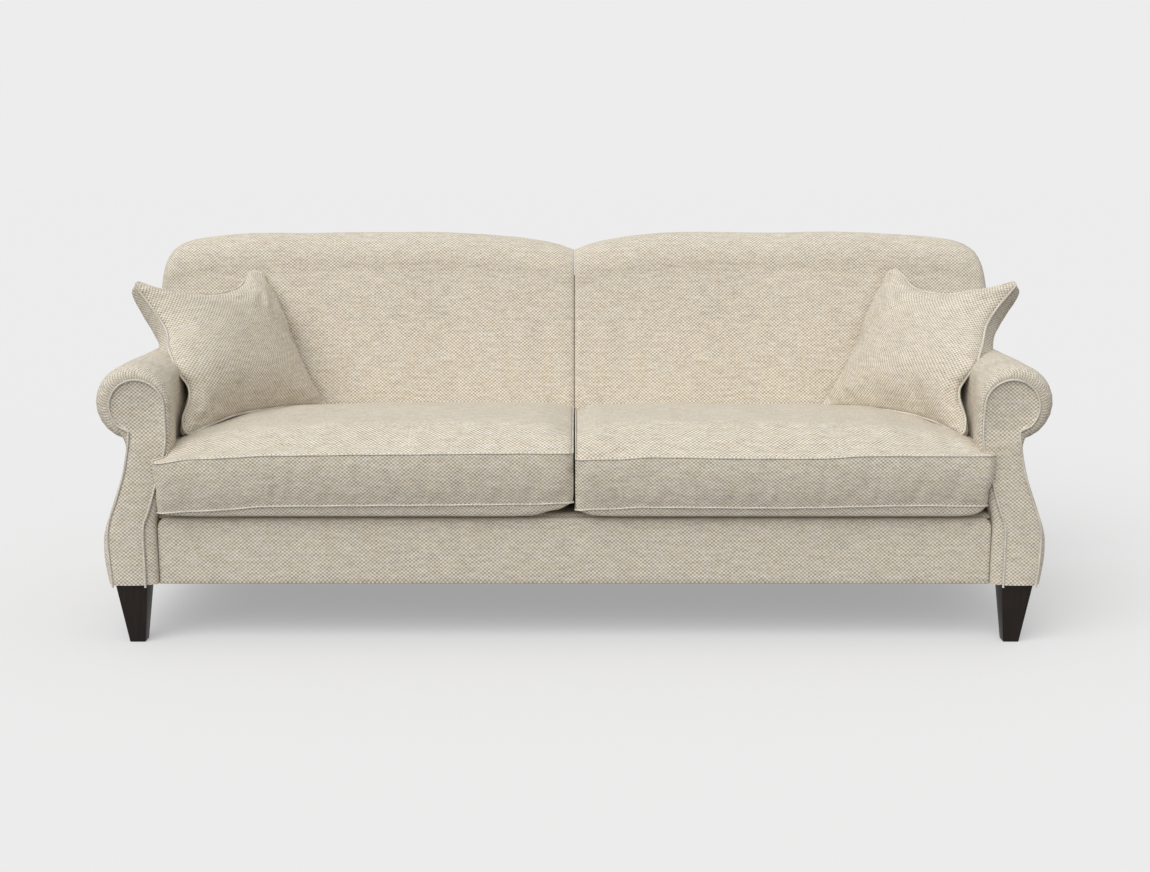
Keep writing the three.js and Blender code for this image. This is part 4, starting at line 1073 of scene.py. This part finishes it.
ticking = toned("white_cambric", [(0.2, (0.66, 0.65, 0.61)), (0.8, (0.80, 0.79, 0.76))], cambric_look, 0.3)
for name, side in SIDES:
    cushion, loop = scatter_cushion(name, side)
    swell(cushion, 2.5, 0.02, 0.008, 0.3)
    for vertex in cushion.data.vertices:
        if cushion.data.attributes["pin"].data[vertex.index].value < 0.5:
            vertex.co = press_clear(vertex.co, side, 0.002)

    pad = bpy.data.objects.new(f"{name}_scatter_feather_pad", cushion.data.copy())
    bpy.context.collection.objects.link(pad)
    across, thick, up = pillow_turn(side)
    middle = sum((vertex.co for vertex in pad.data.vertices), Vector()) / len(pad.data.vertices)
    for vertex in pad.data.vertices:
        p = vertex.co - middle
        vertex.co = middle + (across * p.dot(across) + up * p.dot(up)) * 0.90 + thick * p.dot(thick) * 0.78
    pad.data.materials.clear()
    pad.data.materials.append(ticking)
    finish_cover(pad)
    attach(pad, f"{name}_scatter_cushion")
    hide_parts(f"{name}_scatter_cushion_pad")

    finish_cover(cushion)
    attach(cushion, f"{name}_scatter_cushion")
    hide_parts(f"{name}_scatter_cushion_cover")
    cord = tube(f"{name}_scatter_cushion_cord", loop, 0.0030, loop=True)
    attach(cord, f"{name}_scatter_cushion")


# Legs: square tapered blocks of close-grained wood, stained very dark and lacquered, their outer faces
# upright below the arm's front.
def grained(place, scale, knots, detail):
    """Grain drawn out along the wood."""
    return speckle(place.node("ShaderNodeMapping", {}, {"Vector": place, "Scale": scale}), knots, detail)


def stain_look(place):
    grain = grained(place, (60.0, 60.0, 6.0), 2.0, 6.0)
    return grain, grain, {"Roughness": grain * 0.18 + 0.30, "Specular IOR Level": 0.22}


stain = toned("dark_stained_wood", [(0.25, (0.0075, 0.0042, 0.003)), (0.55, (0.0125, 0.0072, 0.0052)),
                                    (0.8, (0.021, 0.0125, 0.009))], stain_look, 0.25)
for end in ("front", "rear"):
    for name, side in SIDES:
        node_name = f"{end}_{name}_leg"
        low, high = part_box(node_name)
        bpy.ops.mesh.primitive_cube_add(size=1, location=(0, 0, 0))
        leg = bpy.context.object
        leg.name = f"{end}_{name}_tapered_leg"
        foot_y = (low.y, low.y + 0.033) if end == "front" else (high.y - 0.033, high.y)
        ends = {False: (sorted((side * 1.004, side * 1.0405)), foot_y, low.z),
                True: (sorted((side * 0.995, side * 1.0675)), (low.y, high.y), high.z)}
        for vertex in leg.data.vertices:
            p = vertex.co
            x, y, z = ends[p.z > 0]
            vertex.co = (x[p.x > 0], y[p.y > 0], z)
        worked(leg, "BEVEL", width=0.0022, segments=3)
        smoothed(leg, 40)
        leg.data.materials.append(stain)
        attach(leg, "frame")
        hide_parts(node_name)


# What the covers hide: pine rails and boards, serpentine springs, webbing, the deck, the dust cover
# and the cushions' fillings.
def pine_look(place):
    grain = grained(place, (3.0, 30.0, 30.0), 3.0, 5.0)
    return grain, None, {"Roughness": grain * 0.2 + 0.6}


def steel_look(place):
    streak = speckle(place, 180.0, 2.0)
    return streak, None, {"Roughness": streak * 0.3 + 0.25, "Metallic": 1}


def lining_look(place):
    felt = speckle(place, 420.0, 2.0)
    return felt * 0.6 + speckle(place, 8.0, 3.0) * 0.4, felt, {"Roughness": 0.95}


def calico_look(place):
    cloud = speckle(place, 260.0, 4.0)
    return cloud, cloud, {"Roughness": 0.9}


timber = toned("sawn_pine", [(0.3, (0.42, 0.25, 0.11)), (0.55, (0.58, 0.38, 0.19)),
                             (0.75, (0.66, 0.46, 0.26))], pine_look)
steel = toned("drawn_steel", [(0.3, (0.20, 0.21, 0.22)), (0.7, (0.36, 0.37, 0.38))], steel_look)
lining = toned("black_lining", [(0.2, (0.012, 0.012, 0.013)), (0.8, (0.04, 0.04, 0.042))], lining_look, 0.4)
calico = toned("calico", [(0.25, (0.44, 0.39, 0.30)), (0.75, (0.60, 0.55, 0.44))], calico_look, 0.4)

# Seat platform: a thin felt pad in calico over the springs, with a lip of the sofa's own cloth along its
# front edge, which shows where the seat cushions part.
low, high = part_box("seat_deck")
LIP = 0.140
for name, front, rear, top, finish in (("seat_platform", low.y + LIP, high.y, high.z - 0.0006, calico),
                                       ("seat_platform_lip", low.y, low.y + LIP - 0.0004, high.z, cloth)):
    rows = []
    for k in range(41):
        y = front + (rear - front) * k / 40
        drop = 0.004 * max(0.0, 1 - min(k, 40 - k) / 3) ** 2
        upper = [Vector((low.x + (high.x - low.x) * i / 60, y, top - drop)) for i in range(61)]
        rows.append(upper + [Vector((p.x, p.y, low.z)) for p in reversed(upper)])
    platform = skin(name, rows, finish, smooth=40)
    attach(platform, "frame")
    "lining" if name == "seat_platform" else "weave"
    if name == "seat_platform":
        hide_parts("seat_deck")

# Dust cover: black non-woven cloth stapled to the underside of the rails all round and cut round the
# legs, sagging a little between them.
low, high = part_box("dust_cover")
NOTCH_X, NOTCH_FRONT, NOTCH_REAR = 0.996, -0.343, 0.285
across = [low.x, *(-NOTCH_X + 2 * NOTCH_X * k / 60 for k in range(61)), high.x]
along = [low.y, *(NOTCH_FRONT + (NOTCH_REAR - NOTCH_FRONT) * k / 24 for k in range(25)), high.y]
work = bmesh.new()
grid = {}
for j, y in enumerate(along):
    for i, x in enumerate(across):
        sag = 0.0035 * math.sin(math.pi * i / (len(across) - 1)) * math.sin(math.pi * j / (len(along) - 1))
        grid[i, j] = work.verts.new((x, y, high.z - 0.0012 - sag))
for j in range(len(along) - 1):
    for i in range(len(across) - 1):
        if i not in (0, len(across) - 2) or j not in (0, len(along) - 2):
            work.faces.new((grid[i, j], grid[i, j + 1], grid[i + 1, j + 1], grid[i + 1, j]))
for vert in [v for v in work.verts if not v.link_faces]:
    work.verts.remove(vert)
dust = publish("dust_cover_cloth", work, lining)
worked(dust, "SOLIDIFY", thickness=0.0008, offset=0)
smoothed(dust, 40)
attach(dust, "frame")
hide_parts("dust_cover")

# Back webbing: woven jute straps, stretched from the seat rail to the top rail and tacked there, which
# carry the padding of the back.
def jute_look(place):
    rib = (place.node("ShaderNodeSeparateXYZ", {}, {0: place}) * 1600).maths("SINE")
    return speckle(place, 120.0, 3.0) + rib * 0.15, rib, {"Roughness": 0.9}


webbing = toned("jute_webbing", [(0.2, (0.26, 0.18, 0.09)), (0.8, (0.46, 0.35, 0.20))], jute_look,
                0.5, 0.0005)
for node_name in [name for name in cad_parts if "_web_" in name]:
    low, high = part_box(node_name)
    rows = []
    for k in range(31):
        t = k / 30
        y = low.y + 0.001 + (high.y - low.y - 0.002) * t + 0.002 * math.sin(math.pi * t)
        z = low.z + (high.z - low.z) * t
        front = [Vector((low.x + (high.x - low.x) * i / 8, y - 0.0008, z)) for i in range(9)]
        rows.append(front + [Vector((p.x, p.y + 0.0016, p.z)) for p in reversed(front)])
    strap = skin(f"{node_name}_strap", rows, webbing, smooth=30)
    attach(strap, "frame")
    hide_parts(node_name)

# Frame and springs: sawn pine rails, posts and boards, glued and screwed, and springs of drawn steel wire.
# They keep the solids' own shape.
for node_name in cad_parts:
    kept = bpy.data.objects[node_name]
    if not kept.hide_render:
        kept.data.materials.clear()
        kept.data.materials.append(steel if "spring" in node_name else timber)
